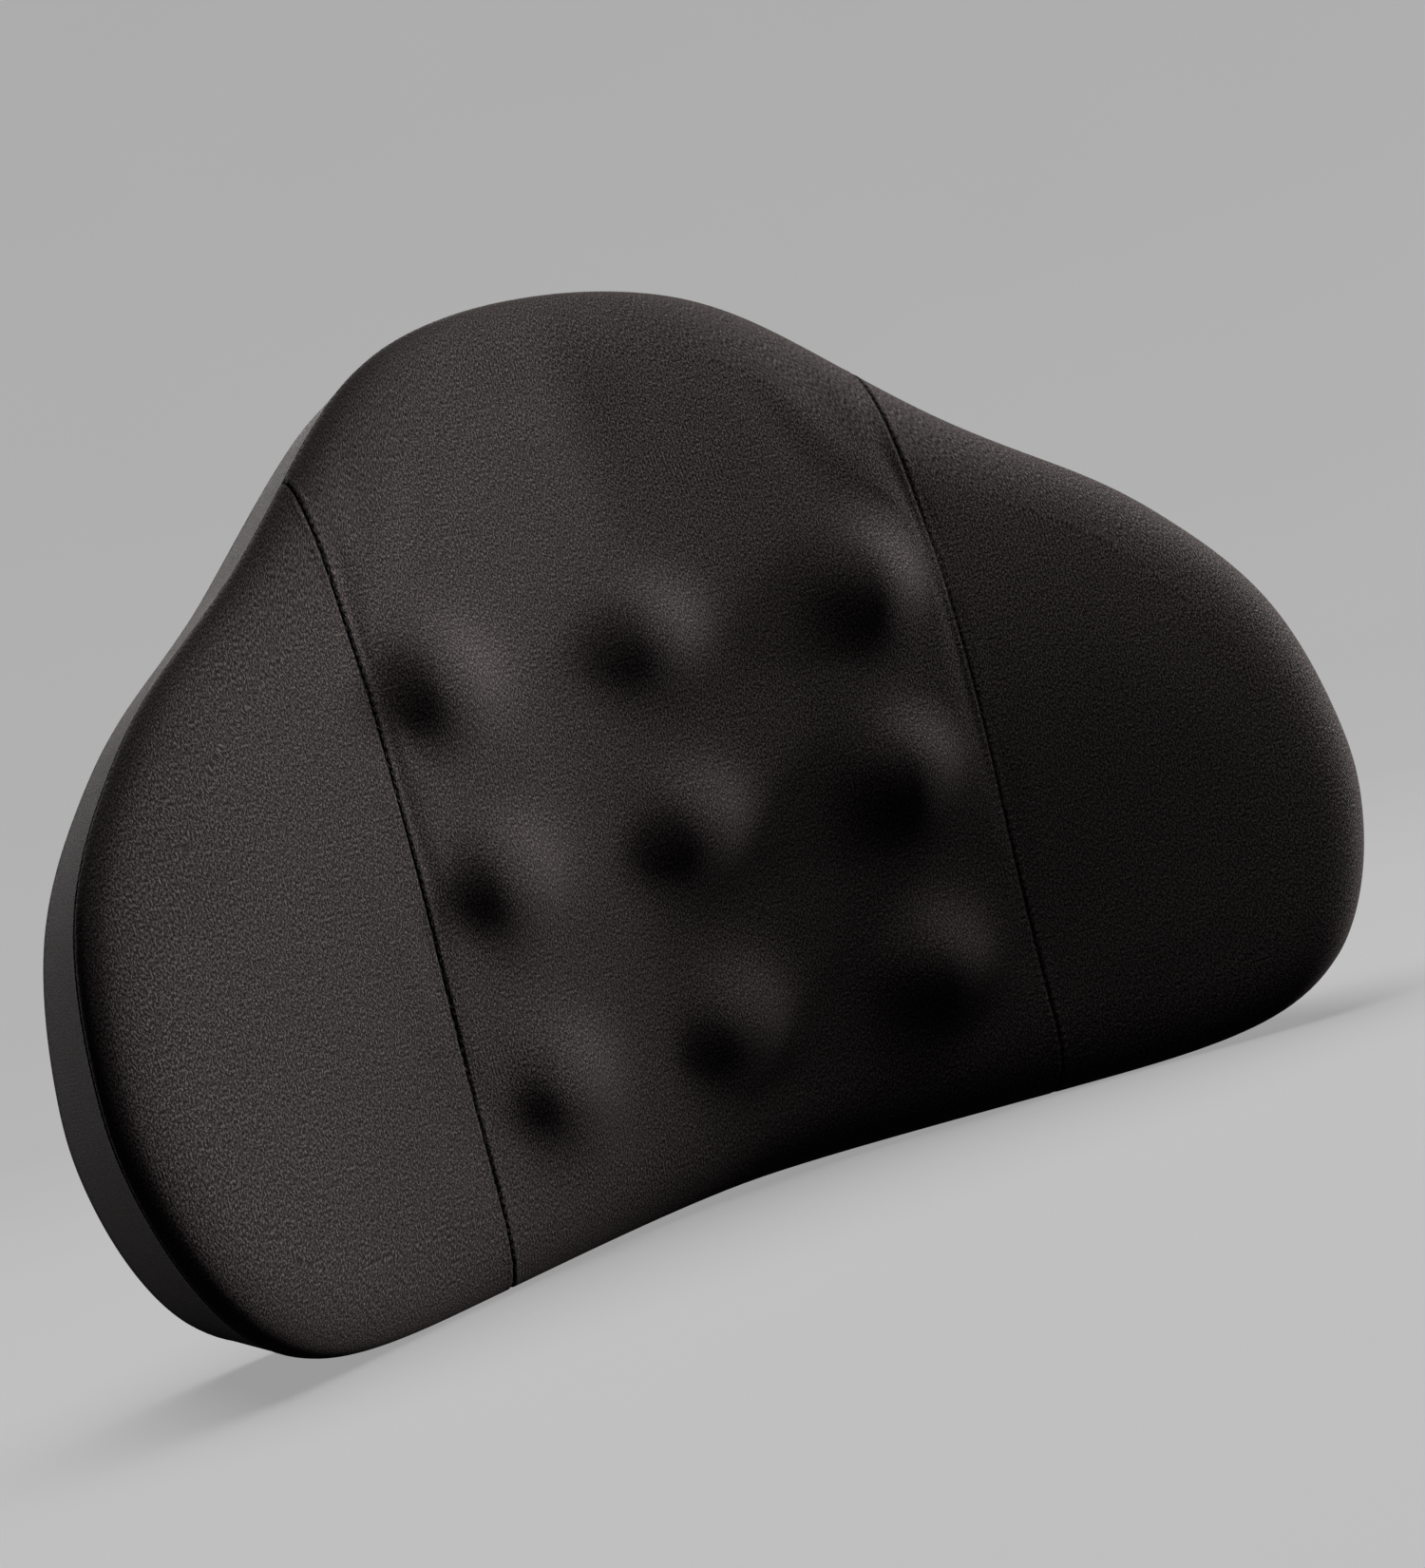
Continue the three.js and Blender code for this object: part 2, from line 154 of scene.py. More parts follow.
def front_depth(x, z):
    across = np.abs(x) / HALF_WIDTH
    wings = WING_RISE * across**WING_CURVE * (1 - WING_LEAN * (z - LEAN_HEIGHT) / LEAN_HEIGHT)
    crown = CROWN * np.exp(-(((z - CROWN_HEIGHT) / CROWN_SPREAD) ** 2)) * (1 - CROWN_FALL * across**2)
    return CENTER_THICKNESS + wings + crown + TILT * (z - TILT_HEIGHT)


def back_depth(x, z):
    beyond = np.clip(np.abs(x) - FLAT_HALF_WIDTH, 0, None) / (HALF_WIDTH - FLAT_HALF_WIDTH)
    eased = np.where(beyond < BACK_EASE, beyond**2 / (2 * BACK_EASE), beyond - BACK_EASE / 2)
    return WING_SWEEP * eased / (1 - BACK_EASE / 2) * (1 + SWEEP_LEAN * (z - LEAN_HEIGHT) / LEAN_HEIGHT)


def bumps(x, z):
    """How far the nine domes lift the cloth; between them it stays a little lifted, like a tent."""
    total = 0.0
    for bx, bz in BUMPS:
        r = np.hypot(x - bx, z - bz)
        total = total + np.exp(-((r / BUMP_RADIUS) ** BUMP_FLANK))
    return BUMP_HEIGHT * total


def crowded(count, crowd):
    """Fractions from 0 to 1 that start close together and spread out."""
    t = np.linspace(0, 1, count + 1)
    return t - crowd * np.sin(np.pi * t) / np.pi


def length_along(points):
    """How far along a polyline each of its points is."""
    return np.concatenate([[0], np.cumsum(np.linalg.norm(np.diff(points, axis=0), axis=1))])


def by_length(points, fractions):
    """Where the fractions of the length of a polyline fall, as positions in its list of points."""
    length = length_along(points)
    return np.interp(fractions * length[-1], length, np.arange(len(points)))


def ring(distance):
    """The outline inset by a distance: RING points, clockwise from the top of the middle, and their
    inward normals. The same index falls on the same seam at every distance."""
    s = np.linspace(0, SPANS / 2, 1500)
    point, inward = outline_at(s)
    inset = point + inward * distance
    wide = np.nonzero(inset[:, 0] > SEAM_X)[0]
    top, bottom = wide[0], wide[-1]
    to_seam = 1 - crowded(HALF_CENTER, 0.85)[::-1]
    side = 0.25 * crowded(WING, 0.85)
    wing = np.concatenate([side, np.linspace(0.25, 0.75, ROWS + 1)[1:-1], 1 - side[::-1]])
    parts = []
    for first, last, fractions in (
        (0, top, to_seam), (top, bottom, wing[1:]), (bottom, len(s) - 1, (1 - to_seam[::-1])[1:]),
    ):
        parts.append(first + by_length(inset[first:last + 1], fractions))
    right = np.interp(np.concatenate(parts), np.arange(len(s)), s)
    point, inward = outline_at(right)
    inset = point + inward * distance
    for seam in (HALF_CENTER, HALF_CENTER + ARC):
        inset[seam, 0] = SEAM_X
    inset[[0, -1], 0] = 0
    inward[[0, -1], 0] = 0
    mirror = np.array([-1, 1])
    return (
        np.concatenate([inset, inset[-2:0:-1] * mirror]),
        np.concatenate([inward, inward[-2:0:-1] * mirror]),
    )


def span_patch(top, bottom, left, right):
    """Inner points of a four-sided patch, filled in evenly between its edges."""
    def fractions(a, b):
        both = []
        for edge in (a, b):
            length = length_along(edge)
            both.append(length / length[-1])
        return (both[0] + both[1]) / 2

    a = fractions(top, bottom)[None, :, None]
    b = fractions(left, right)[:, None, None]
    across = (1 - a) * left[:, None] + a * right[:, None]
    down = (1 - b) * top[None] + b * bottom[None]
    corners = (
        (1 - a) * (1 - b) * top[0] + a * (1 - b) * top[-1] + (1 - a) * b * bottom[0] + a * b * bottom[-1]
    )
    return (across + down - corners)[1:-1, 1:-1]


class Skin:
    """The whole cover as one closed mesh: points, and for each face its panel and its corners' place
    on the flat cloth."""

    def __init__(self):
        self.points = np.zeros((0, 3))
        self.faces, self.panels, self.cloth = [], [], []

    def put(self, flat, y):
        """Adds points given as x and z with their y, and gives their numbers."""
        flat = np.asarray(flat, float).reshape(-1, 2)
        first = len(self.points)
        added = np.stack([flat[:, 0], np.asarray(y, float).ravel(), flat[:, 1]], 1)
        self.points = np.concatenate([self.points, added])
        return np.arange(first, len(self.points))

    def flat(self, index):
        return self.points[index][:, [0, 2]]

    def add(self, quads, panels, cloth):
        self.faces.append(quads.reshape(-1, 4))
        self.panels.append(np.broadcast_to(panels, len(self.faces[-1])))
        self.cloth.append(cloth.reshape(-1, 4, 2))

    def strip(self, inner, outer, panels, inner_cloth, outer_cloth):
        """A band of faces between two rings."""
        a, d = np.append(inner, inner[0]), np.append(outer, outer[0])
        quads = np.stack([a[:-1], a[1:], d[1:], d[:-1]], 1)
        pairs = [c if len(c) > RING else np.concatenate([c, c[:1]]) for c in (inner_cloth, outer_cloth)]
        cloth = np.stack([pairs[0][:-1], pairs[0][1:], pairs[1][1:], pairs[1][:-1]], 1)
        self.add(quads, panels, cloth)

    def patch(self, depth, panel, turned, top, bottom, left, right):
        """A four-sided stretch of the front or the back, inside four edges of points."""
        inner = span_patch(*(self.flat(edge) for edge in (top, bottom, left, right)))
        index = np.zeros((ROWS + 1, len(top)), int)
        index[0], index[-1], index[:, 0], index[:, -1] = top, bottom, left, right
        added = self.put(inner, -depth(inner[..., 0], inner[..., 1]))
        index[1:-1, 1:-1] = added.reshape(inner.shape[:2])
        quads = np.stack([index[:-1, :-1], index[1:, :-1], index[1:, 1:], index[:-1, 1:]], -1).reshape(-1, 4)
        if turned:
            quads = quads[:, ::-1]
        self.add(quads, panel, self.flat(quads.ravel()))

    def side(self, rim, depth, panels, turned):
        """The centre and the two wings of the front or the back, inside the ring called rim. Gives the
        points of the two lines where they meet, by side."""
        half = HALF_CENTER
        lines = {}
        for sign, top, bottom in ((1, half, half + ARC), (-1, RING - half, RING - half - ARC)):
            ends = self.flat([rim[top], rim[bottom]])
            inner = np.linspace(ends[0], ends[1], ROWS + 1)[1:-1]
            middle = self.put(inner, -depth(inner[:, 0], inner[:, 1]))
            lines[sign] = np.concatenate([[rim[top]], middle, [rim[bottom]]])
        across = np.arange(-half, half + 1)
        top, bottom = rim[across % RING], rim[(RING // 2 - across) % RING]
        self.patch(depth, panels[0], turned, top, bottom, lines[-1], lines[1])
        out = np.arange(WING + 1)
        tip = np.arange(ROWS + 1)
        for sign, panel in ((1, panels[1]), (-1, panels[2])):
            edges = [rim[(sign * i) % RING] for i in (half + out, half + ARC - out, half + WING + tip)]
            self.patch(depth, panel, turned == (sign > 0), edges[0], edges[1], lines[sign], edges[2])
        return lines


def make_skin(raised=True):
    """The skin at its sewn size, with or without the bumps, and its four seams as lists of its points."""
    skin = Skin()
    of_ring = np.full(RING, CENTER)
    of_ring[HALF_CENTER:HALF_CENTER + ARC] = WING_RIGHT
    of_ring[RING - HALF_CENTER - ARC:RING - HALF_CENTER] = WING_LEFT
    edge, _ = ring(0)
    edge_front = front_depth(edge[:, 0], edge[:, 1])
    edge_back = back_depth(edge[:, 0], edge[:, 1])
    rim, normal = ring(EDGE_REACH)
    rim_front = front_depth(rim[:, 0], rim[:, 1])

    # The front rolls over the edge; the faces are finest at the seam.
    rings = []
    for k in range(EDGE_ROLL + 1):
        angle = math.pi / 2 * (1 - (1 - k / EDGE_ROLL) ** 1.8)
        flat, _ = ring(EDGE_REACH * (1 - math.sin(angle)))
        depth = rim_front + (edge_front - rim_front) * math.sin(angle)
        rings.append(skin.put(flat, EDGE_DEPTH * (1 - math.cos(angle)) - depth))
        unrolled = rim - normal * (EDGE_REACH + EDGE_DEPTH) / 2 * angle
        if k:
            skin.strip(rings[-2], rings[-1], of_ring, before, unrolled)
        before = unrolled
    front_rim, front_edge = rings[0], rings[-1]

    # The border band.
    closed = np.concatenate([edge, edge[:1]])
    around = length_along(closed)
    y_front, y_back = EDGE_DEPTH - edge_front, -BACK_RADIUS - edge_back
    last = front_edge
    for k in range(1, WALL + 1):
        shares = [s - 0.8 * math.sin(2 * math.pi * s) / (2 * math.pi) for s in ((k - 1) / WALL, k / WALL)]
        inner_y, outer_y = (y_front + (y_back - y_front) * s for s in shares)
        added = skin.put(edge, outer_y)
        cloth = [np.stack([around, np.append(y, y[0])], 1) for y in (inner_y, outer_y)]
        skin.strip(last, added, BORDER, *cloth)
        last = added
    back_edge = last

    # The back rolls in from the border.
    before = edge
    for k in range(1, BACK_ROLL + 1):
        angle = math.pi / 2 * (k / BACK_ROLL) ** 1.5
        flat, _ = ring(BACK_RADIUS * (1 - math.cos(angle)))
        added = skin.put(flat, -edge_back - BACK_RADIUS * (1 - math.sin(angle)))
        skin.strip(last, added, BACK, before, flat)
        last, before = added, flat

    lines = skin.side(front_rim, front_depth, (CENTER, WING_RIGHT, WING_LEFT), False)
    skin.side(last, back_depth, (BACK, BACK, BACK), True)
    seams = {}
    for name, edge_ring in (("border_front", front_edge), ("border_back", back_edge)):
        seams[name] = np.append(edge_ring, edge_ring[0])
    for name, sign in (("right", 1), ("left", -1)):
        ends = [(sign * i) % RING for i in (HALF_CENTER, HALF_CENTER + ARC)]
        over = [[loop[end] for loop in rings[:0:-1]] for end in ends]
        seams[name] = np.concatenate([over[0], lines[sign], over[1][::-1]])
    faces, panels = np.concatenate(skin.faces), np.concatenate(skin.panels)
    front = np.unique(faces[panels == CENTER])
    if raised:
        skin.points[front, 1] -= bumps(skin.points[front, 0], skin.points[front, 2])
    return skin.points, faces, panels, np.concatenate(skin.cloth), seams


# ---------- from skin to mesh ----------

SWELL_FRAMES = 16
SWELL_MOST, SWELL_SHARE = 1.2, 95
SEAM_STEP = 0.5
GROOVE_DEPTH, GROOVE_HALF = 1.0, 0.5
LIP_HEIGHT, LIP_AT, LIP_WIDE = 0.15, 1.5, 0.9
SHELL = 1.2
FOAM_INSET = 3.4


def swell(points, faces, held):
    """Blender's cloth, blown up a little against the held seams: the pull of a tight cover."""
    mesh = bpy.data.meshes.new("swell")
    mesh.from_pydata(to_frame(points).tolist(), [], faces.tolist())
    bag = bpy.data.objects.new("swell", mesh)
    bpy.context.scene.collection.objects.link(bag)
    bag.vertex_groups.new(name="held").add([int(i) for i in held], 1.0, "REPLACE")
    cloth = bag.modifiers.new("Cloth", "CLOTH")
    settings = cloth.settings
    settings.quality = 4
    settings.mass = 0.3
    settings.tension_stiffness = settings.compression_stiffness = 30
    settings.shear_stiffness = 20
    settings.bending_stiffness = 2
    settings.use_pressure = True
    settings.uniform_pressure_force = 1.5
    settings.vertex_group_mass = "held"
    settings.effector_weights.gravity = 0
    scene = bpy.context.scene
    for step in range(1, SWELL_FRAMES + 1):
        scene.frame_set(step)
    blown = bag.evaluated_get(bpy.context.evaluated_depsgraph_get()).data
    swollen = np.zeros(len(points) * 3)
    blown.vertices.foreach_get("co", swollen)
    scene.frame_set(1)
    bpy.data.objects.remove(bag)
    move = (swollen.reshape(-1, 3) - to_frame(points)) / MM
    length = np.linalg.norm(move, axis=1)[:, None]
    most = np.percentile(length, SWELL_SHARE)
    return points + move * SWELL_MOST / np.maximum(length, most)


def finer(mesh):
    """A mesh after Catmull-Clark subdivision."""
    thing = bpy.data.objects.new("finer", mesh)
    bpy.context.scene.collection.objects.link(thing)
    modifier = thing.modifiers.new("Subdivision", "SUBSURF")
    modifier.levels = modifier.render_levels = 1
    modifier.uv_smooth = "NONE"
    evaluated = thing.evaluated_get(bpy.context.evaluated_depsgraph_get())
    made = bpy.data.meshes.new_from_object(evaluated)
    bpy.data.objects.remove(thing)
    return made


def read_vectors(items, key):
    """A vector that each item has, such as each vertex its place, as rows."""
    values = np.zeros(len(items) * 3)
    items.foreach_get(key, values)
    return values.reshape(-1, 3)


def add_cloth_places(mesh, name, places):
    """Gives each point of the mesh its place on the flat cloth, in metres."""
    corner = np.zeros(len(mesh.loops), int)
    mesh.loops.foreach_get("vertex_index", corner)
    mesh.uv_layers.new(name=name).data.foreach_set("uv", places[corner].ravel())


def resampled(path, step):
    """Points at an even step along a polyline, and how far along each one is."""
    length = length_along(path)
    along = np.linspace(0, length[-1], max(2, round(length[-1] / step) + 1))
    return np.stack([np.interp(along, length, path[:, k]) for k in range(3)], 1), along


def pull_in_seams(mesh, seams):
    """Turns the cloth in along the seams, and gives each point's distance from the nearest seam and
    how far along that seam it is, in metres, as the cloth coordinates named seam."""
    samples = [resampled(path * MM, SEAM_STEP * MM) for path in seams.values()]
    places = np.concatenate([s[0] for s in samples])
    along = np.concatenate([s[1] for s in samples])
    tree = KDTree(len(places))
    for i, place in enumerate(places):
        tree.insert(place, i)
    tree.balance()
    points, normals = read_vectors(mesh.vertices, "co"), read_vectors(mesh.vertex_normals, "vector")
    found = [tree.find(p) for p in points]
    away = np.array([f[2] for f in found])
    where = along[[f[1] for f in found]]
    d = away / MM
    lip = LIP_HEIGHT * np.exp(-(((d - LIP_AT) / LIP_WIDE) ** 2))
    shift = lip - GROOVE_DEPTH * np.exp(-((d / GROOVE_HALF) ** 2))
    points += normals * shift[:, None] * MM
    mesh.vertices.foreach_set("co", points.ravel())
    add_cloth_places(mesh, "seam", np.stack([away, where], 1))
    mesh.update()


def cut(bm, co, normal):
    """Cuts faces along a plane, given in the shape's millimetres."""
    place = Vector(to_frame([co])[0])
    everything = list(bm.verts) + list(bm.edges) + list(bm.faces)
    bmesh.ops.bisect_plane(bm, geom=everything, dist=1e-7, plane_co=place, plane_no=normal)


def panel_mesh(skin_mesh, name, panel, keep=None, cuts=()):
    """One panel of the skin as a mesh of its own. keep says from a face's middle, in millimetres,
    whether the face stays."""
    bm = bmesh.new()
    bm.from_mesh(skin_mesh)
    bmesh.ops.delete(bm, geom=[f for f in bm.faces if f.material_index != panel], context="FACES")
    for co, normal in cuts:
        cut(bm, co, normal)
    if keep:
        middles = [(f, from_frame(f.calc_center_median())) for f in bm.faces]
        bmesh.ops.delete(bm, geom=[f for f, m in middles if not keep(m)], context="FACES")
    for face in bm.faces:
        face.material_index = 0
        face.smooth = True
    mesh = bpy.data.meshes.new(name)
    bm.to_mesh(mesh)
    bm.free()
    return mesh


def piece(name, mesh, material, body, replaces=(), sharp=None):
    """Puts a finished mesh in the scene as a piece of the object."""
    made = bpy.data.objects.new(name, mesh)
    bpy.context.scene.collection.objects.link(made)
    mesh.materials.clear()
    mesh.materials.append(material)
    mesh.polygons.foreach_set("use_smooth", [True] * len(mesh.polygons))
    if sharp:
        mesh.set_sharp_from_angle(angle=math.radians(sharp))
    if body:
        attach(made, body)
    if replaces:
        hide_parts(*replaces)
    return made


def solidify(thing, thickness):
    modifier = thing.modifiers.new("Solidify", "SOLIDIFY")
    modifier.thickness = thickness * MM
    modifier.offset = -1
    modifier.use_even_offset = False
    return thing


# ---------- small mesh makers ----------

def frames_along(path, up):
    """The direction, side and upward vectors at each point of a path."""
    ahead = np.gradient(path, axis=0)
    ahead /= np.linalg.norm(ahead, axis=1)[:, None]
    side = np.cross(ahead, np.broadcast_to(up, path.shape))
    side /= np.linalg.norm(side, axis=1)[:, None]
    return ahead, side, np.cross(side, ahead)


def tube_faces(rows, count):
    """Faces of a closed tube of so many rings, with so many points in each, and its two caps."""
    index = np.arange(rows * count).reshape(rows, count)
    around = np.concatenate([index, index[:, :1]], 1)
    quads = np.stack([around[:-1, :-1], around[:-1, 1:], around[1:, 1:], around[1:, :-1]], -1)
    return quads.reshape(-1, 4).tolist() + [index[0][::-1].tolist(), index[-1].tolist()]


def sweep(section, path, sides, ups):
    """Points and faces of a closed section, or one section for each point, swept along a path."""
    section = np.broadcast_to(section, (len(path),) + np.shape(section)[-2:])
    points = path[:, None] + section[..., :1] * sides[:, None] + section[..., 1:] * ups[:, None]
    return points.reshape(-1, 3), tube_faces(*points.shape[:2])


def circle(radius, count):
    angle = np.arange(count) * 2 * math.pi / count
    return np.stack([np.cos(angle), np.sin(angle)], 1) * radius


def mesh_of(name, parts):
    """One mesh of several lots of points, in the shape's millimetres, and faces."""
    mesh = bpy.data.meshes.new(name)
    points, faces, first = [], [], 0
    for some_points, some_faces in parts:
        points.append(some_points)
        faces += [[first + i for i in face] for face in some_faces]
        first += len(some_points)
    mesh.from_pydata(to_frame(np.concatenate(points)).tolist(), [], faces)
    bm = bmesh.new()
    bm.from_mesh(mesh)
    bmesh.ops.recalc_face_normals(bm, faces=bm.faces)
    bm.to_mesh(mesh)
    bm.free()
    return mesh


# Stitches, in millimetres: pitch, length, thread radius and how deep the ends dip.
SEAM_STITCH = (3.0, 2.2, 0.2, 0.4)
TOP_STITCH = (2.8, 2.2, 0.3, 0.35)


def stitches(path, normals, kind, seed):
    """Short lengths of thread along a path; each one arches up out of the cloth and dips at its ends."""
    pitch, length, radius, dip = kind
    chance = random.Random(seed)
    reach = length_along(path)
    count = max(1, int(reach[-1] / pitch))
    parts = []
    share = np.linspace(-1, 1, 7)
    for k in range(count):
        middle = (k + 0.5) * reach[-1] / count + chance.uniform(-0.15, 0.15)
        at = np.clip(middle + share * length / 2, 0, reach[-1])
        line = np.stack([np.interp(at, reach, path[:, i]) for i in range(3)], 1)
        up = np.stack([np.interp(middle, reach, normals[:, i]) for i in range(3)])
        line -= up * (dip * share**2)[:, None]
        line += np.cross(line[-1] - line[0], up) / length * (share * chance.uniform(-0.18, 0.18))[:, None]
        _, sides, ups = frames_along(line, up)
        thread = circle(radius, 6)[None] * np.sqrt(np.clip(1.12 - share**6, 0.1, 1))[:, None, None]
        parts.append(sweep(thread, line, sides, ups))
    return parts


# ---------- materials ----------

def node(tree, kind, *inputs, **settings):
    """Adds a shader node; inputs are sockets or values in the node's own order."""
    made = tree.nodes.new("ShaderNode" + kind)
    for key, value in settings.items():
        setattr(made, key, value)
    for socket, value in zip(made.inputs, inputs):
        if isinstance(value, bpy.types.NodeSocket):
            tree.links.new(value, socket)
        elif value is not None:
            socket.default_value = value
    return made.outputs[0]


def math_node(tree, operation, a, b=0.0):
    return node(tree, "Math", a, b, operation=operation)


def times(tree, a, b):
    return math_node(tree, "MULTIPLY", a, b)


def plus(tree, a, b):
    return math_node(tree, "ADD", a, b)


def remap(tree, value, low, high, to_low=0.0, to_high=1.0):
    return node(tree, "MapRange", value, low, high, to_low, to_high)


def mix(tree, share, a, b):
    made = tree.nodes.new("ShaderNodeMix")
    made.data_type = "RGBA"
    for name, value in (("Factor_Float", share), ("A_Color", a), ("B_Color", b)):
        socket = next(s for s in made.inputs if s.identifier == name)
        if isinstance(value, bpy.types.NodeSocket):
            tree.links.new(value, socket)
        else:
            socket.default_value = value
    return next(s for s in made.outputs if s.identifier == "Result_Color")


def noise_at(tree, vector, scale, detail=2.0, roughness=0.5):
    return node(tree, "TexNoise", vector, None, scale, detail, roughness)


def stretched(tree, vector, x, y, z=1.0):
    return node(tree, "VectorMath", vector, (x, y, z), operation="MULTIPLY")


def cloth_place(tree, layer="weave"):
    """The cloth's own coordinates in millimetres, as a vector and as two values."""
    vector = stretched(tree, node(tree, "UVMap", uv_map=layer), 1000, 1000)
    split = tree.nodes.new("ShaderNodeSeparateXYZ")
    tree.links.new(vector, split.inputs[0])
    return vector, split.outputs[0], split.outputs[1]


def wave(tree, value, pitch):
    """A sine of the value with the given pitch, from -1 to 1."""
    return math_node(tree, "SINE", times(tree, value, 2 * math.pi / pitch))


def new_material(name, **constants):
    material = bpy.data.materials.new(name)
    material.use_nodes = True
    surface = material.node_tree.nodes["Principled BSDF"]
    for key, value in constants.items():
        surface.inputs[key.replace("_", " ").title().replace("Ior", "IOR")].default_value = value
    return material, material.node_tree, surface


def finish_material(tree, surface, color, roughness, height, depth, strength=1.0):
    """Links colour and roughness, and a bump whose height of 1 stands for depth in millimetres."""
    tree.links.new(color, surface.inputs["Base Color"])
    tree.links.new(roughness, surface.inputs["Roughness"])
    bump = tree.nodes.new("ShaderNodeBump")
    bump.inputs["Strength"].default_value = strength
    bump.inputs["Distance"].default_value = depth * MM
    tree.links.new(height, bump.inputs["Height"])
    tree.links.new(bump.outputs[0], surface.inputs["Normal"])


def knit_material():
    """Fine warm-charcoal knit: broken light specks of painted fibre sheen along the wales, faint ribs in
    patches, puckered seams with painted shade in their grooves.
    """
    material, tree, surface = new_material(
        "knit", sheen_weight=0.06, sheen_roughness=0.4, sheen_tint=(0.95, 0.8, 0.77, 1),
        specular_ior_level=0.2,
    )
    place, u, _ = cloth_place(tree)
    specks = noise_at(tree, stretched(tree, place, 1 / 0.5, 1 / 0.9), 1.0, 2.5, 0.7)
    specks = remap(tree, specks, 0.46, 0.66)
    sway = times(tree, noise_at(tree, stretched(tree, place, 1 / 9, 1 / 40), 1.0), 1.6)
    ribs = wave(tree, plus(tree, u, sway), 1.3)
    patches = remap(tree, noise_at(tree, place, 1 / 42, 3.0), 0.5, 0.68)
    ribs = times(tree, ribs, patches)
    mottle = remap(tree, noise_at(tree, place, 1 / 22, 4.0, 0.6), 0.35, 0.65)
    color = mix(tree, mottle, (0.0212, 0.0168, 0.0165, 1), (0.0265, 0.0205, 0.02, 1))
    dark = mix(tree, 0.6, color, (0.003, 0.0025, 0.0025, 1))
    # The bright colour of the specks is painted sheen on the yarn's fibres.
    light = mix(tree, 0.72, color, (0.185, 0.157, 0.155, 1))
    color = mix(tree, specks, dark, light)
    color = mix(tree, times(tree, remap(tree, ribs, 0.2, 1.0), 0.35), color, dark)

    # Near a seam the cloth is painted darker, as shade in the seam's groove, and the stitches pinch it.
    _, away, along = cloth_place(tree, "seam")
    seam_shade = remap(tree, away, 0.1, 0.6, 1.0, 0.0)
    color = mix(tree, times(tree, seam_shade, 0.85), color, (0.004, 0.0036, 0.0036, 1))
    wobble = times(tree, noise_at(tree, place, 0.35), 1.2)
    pinch = wave(tree, plus(tree, along, wobble), SEAM_STITCH[0])
    pinch = times(tree, pinch, remap(tree, away, 1.0, 4.5, 1.0, 0.0))
    height = plus(tree, specks, times(tree, ribs, 0.3))
    height = plus(tree, height, times(tree, pinch, 0.8))
    roughness = remap(tree, specks, 0.0, 1.0, 0.95, 0.72)
    finish_material(tree, surface, color, roughness, height, 0.22, 0.8)
    return material


def air_mesh_material():
    """Black spacer mesh of the back: rows of small round holes, with painted shade in them."""
    material, tree, surface = new_material(
        "air_mesh", sheen_weight=0.15, sheen_roughness=0.5, specular_ior_level=0.3)
    place, u, v = cloth_place(tree)
    pitch = 3.1
    lattice = wave(tree, plus(tree, u, pitch / 4), pitch)
    for side in (-1, 1):
        slant = plus(tree, times(tree, u, -0.5), times(tree, v, side * 0.866))
        lattice = plus(tree, lattice, wave(tree, plus(tree, slant, pitch / 4), pitch))
    holes = remap(tree, lattice, 0.7, 1.7)
    yarn = noise_at(tree, stretched(tree, place, 1 / 0.35, 1 / 0.9), 1.0, 2.0)
    color = mix(tree, yarn, (0.014, 0.0125, 0.0125, 1), (0.04, 0.036, 0.0355, 1))
    # The holes are painted nearly black: painted shade inside them.
    color = mix(tree, holes, color, (0.0025, 0.0024, 0.0024, 1))
    height = math_node(tree, "SUBTRACT", times(tree, yarn, 0.4), holes)
    finish_material(tree, surface, color, remap(tree, holes, 0.0, 1.0, 0.75, 0.95), height, 0.6, 0.9)
    return material


def webbing_material(name, warp, weft, dark, light):
    """Woven tape: cords along it, crossed by the weft. Warp and weft are their pitches."""
    material, tree, surface = new_material(name, sheen_weight=0.12, specular_ior_level=0.3)
    place, u, v = cloth_place(tree)
    row = math_node(tree, "FLOOR", math_node(tree, "DIVIDE", v, warp))
    shifted = plus(tree, u, times(tree, row, weft / 2))
    cords = math_node(tree, "ABSOLUTE", wave(tree, v, 2 * warp))
    picks = math_node(tree, "ABSOLUTE", wave(tree, shifted, 2 * weft))
    height = times(tree, cords, remap(tree, picks, 0.0, 1.0, 0.45, 1.0))
    fuzz = noise_at(tree, place, 2.2, 3.0)
    # The colour follows the weave's height, darker in its hollows: painted shade, varied at random by the
    # fuzz.
    color = mix(tree, times(tree, height, fuzz), dark, light)
    finish_material(tree, surface, color, remap(tree, fuzz, 0.3, 0.7, 0.9, 0.7), height, 0.25, 0.8)
    return material


def object_place(tree):
    """The piece's own coordinates in millimetres."""
    made = tree.nodes.new("ShaderNodeTexCoord")
    return stretched(tree, made.outputs["Object"], 1000, 1000, 1000)


def thread_material():
    """Twisted polyester thread."""
    material, tree, surface = new_material("thread", sheen_weight=0.1, specular_ior_level=0.35)
    place = object_place(tree)
    twist = node(tree, "TexWave", place, 1.1, 2.0, 2.0, 1.0, bands_direction="DIAGONAL")
    # The colour follows the twist, darker in its grooves: painted shade.
    color = mix(tree, twist, (0.006, 0.0055, 0.0055, 1), (0.022, 0.0195, 0.019, 1))
    finish_material(tree, surface, color, remap(tree, twist, 0.0, 1.0, 0.8, 0.6), twist, 0.08)
    return material


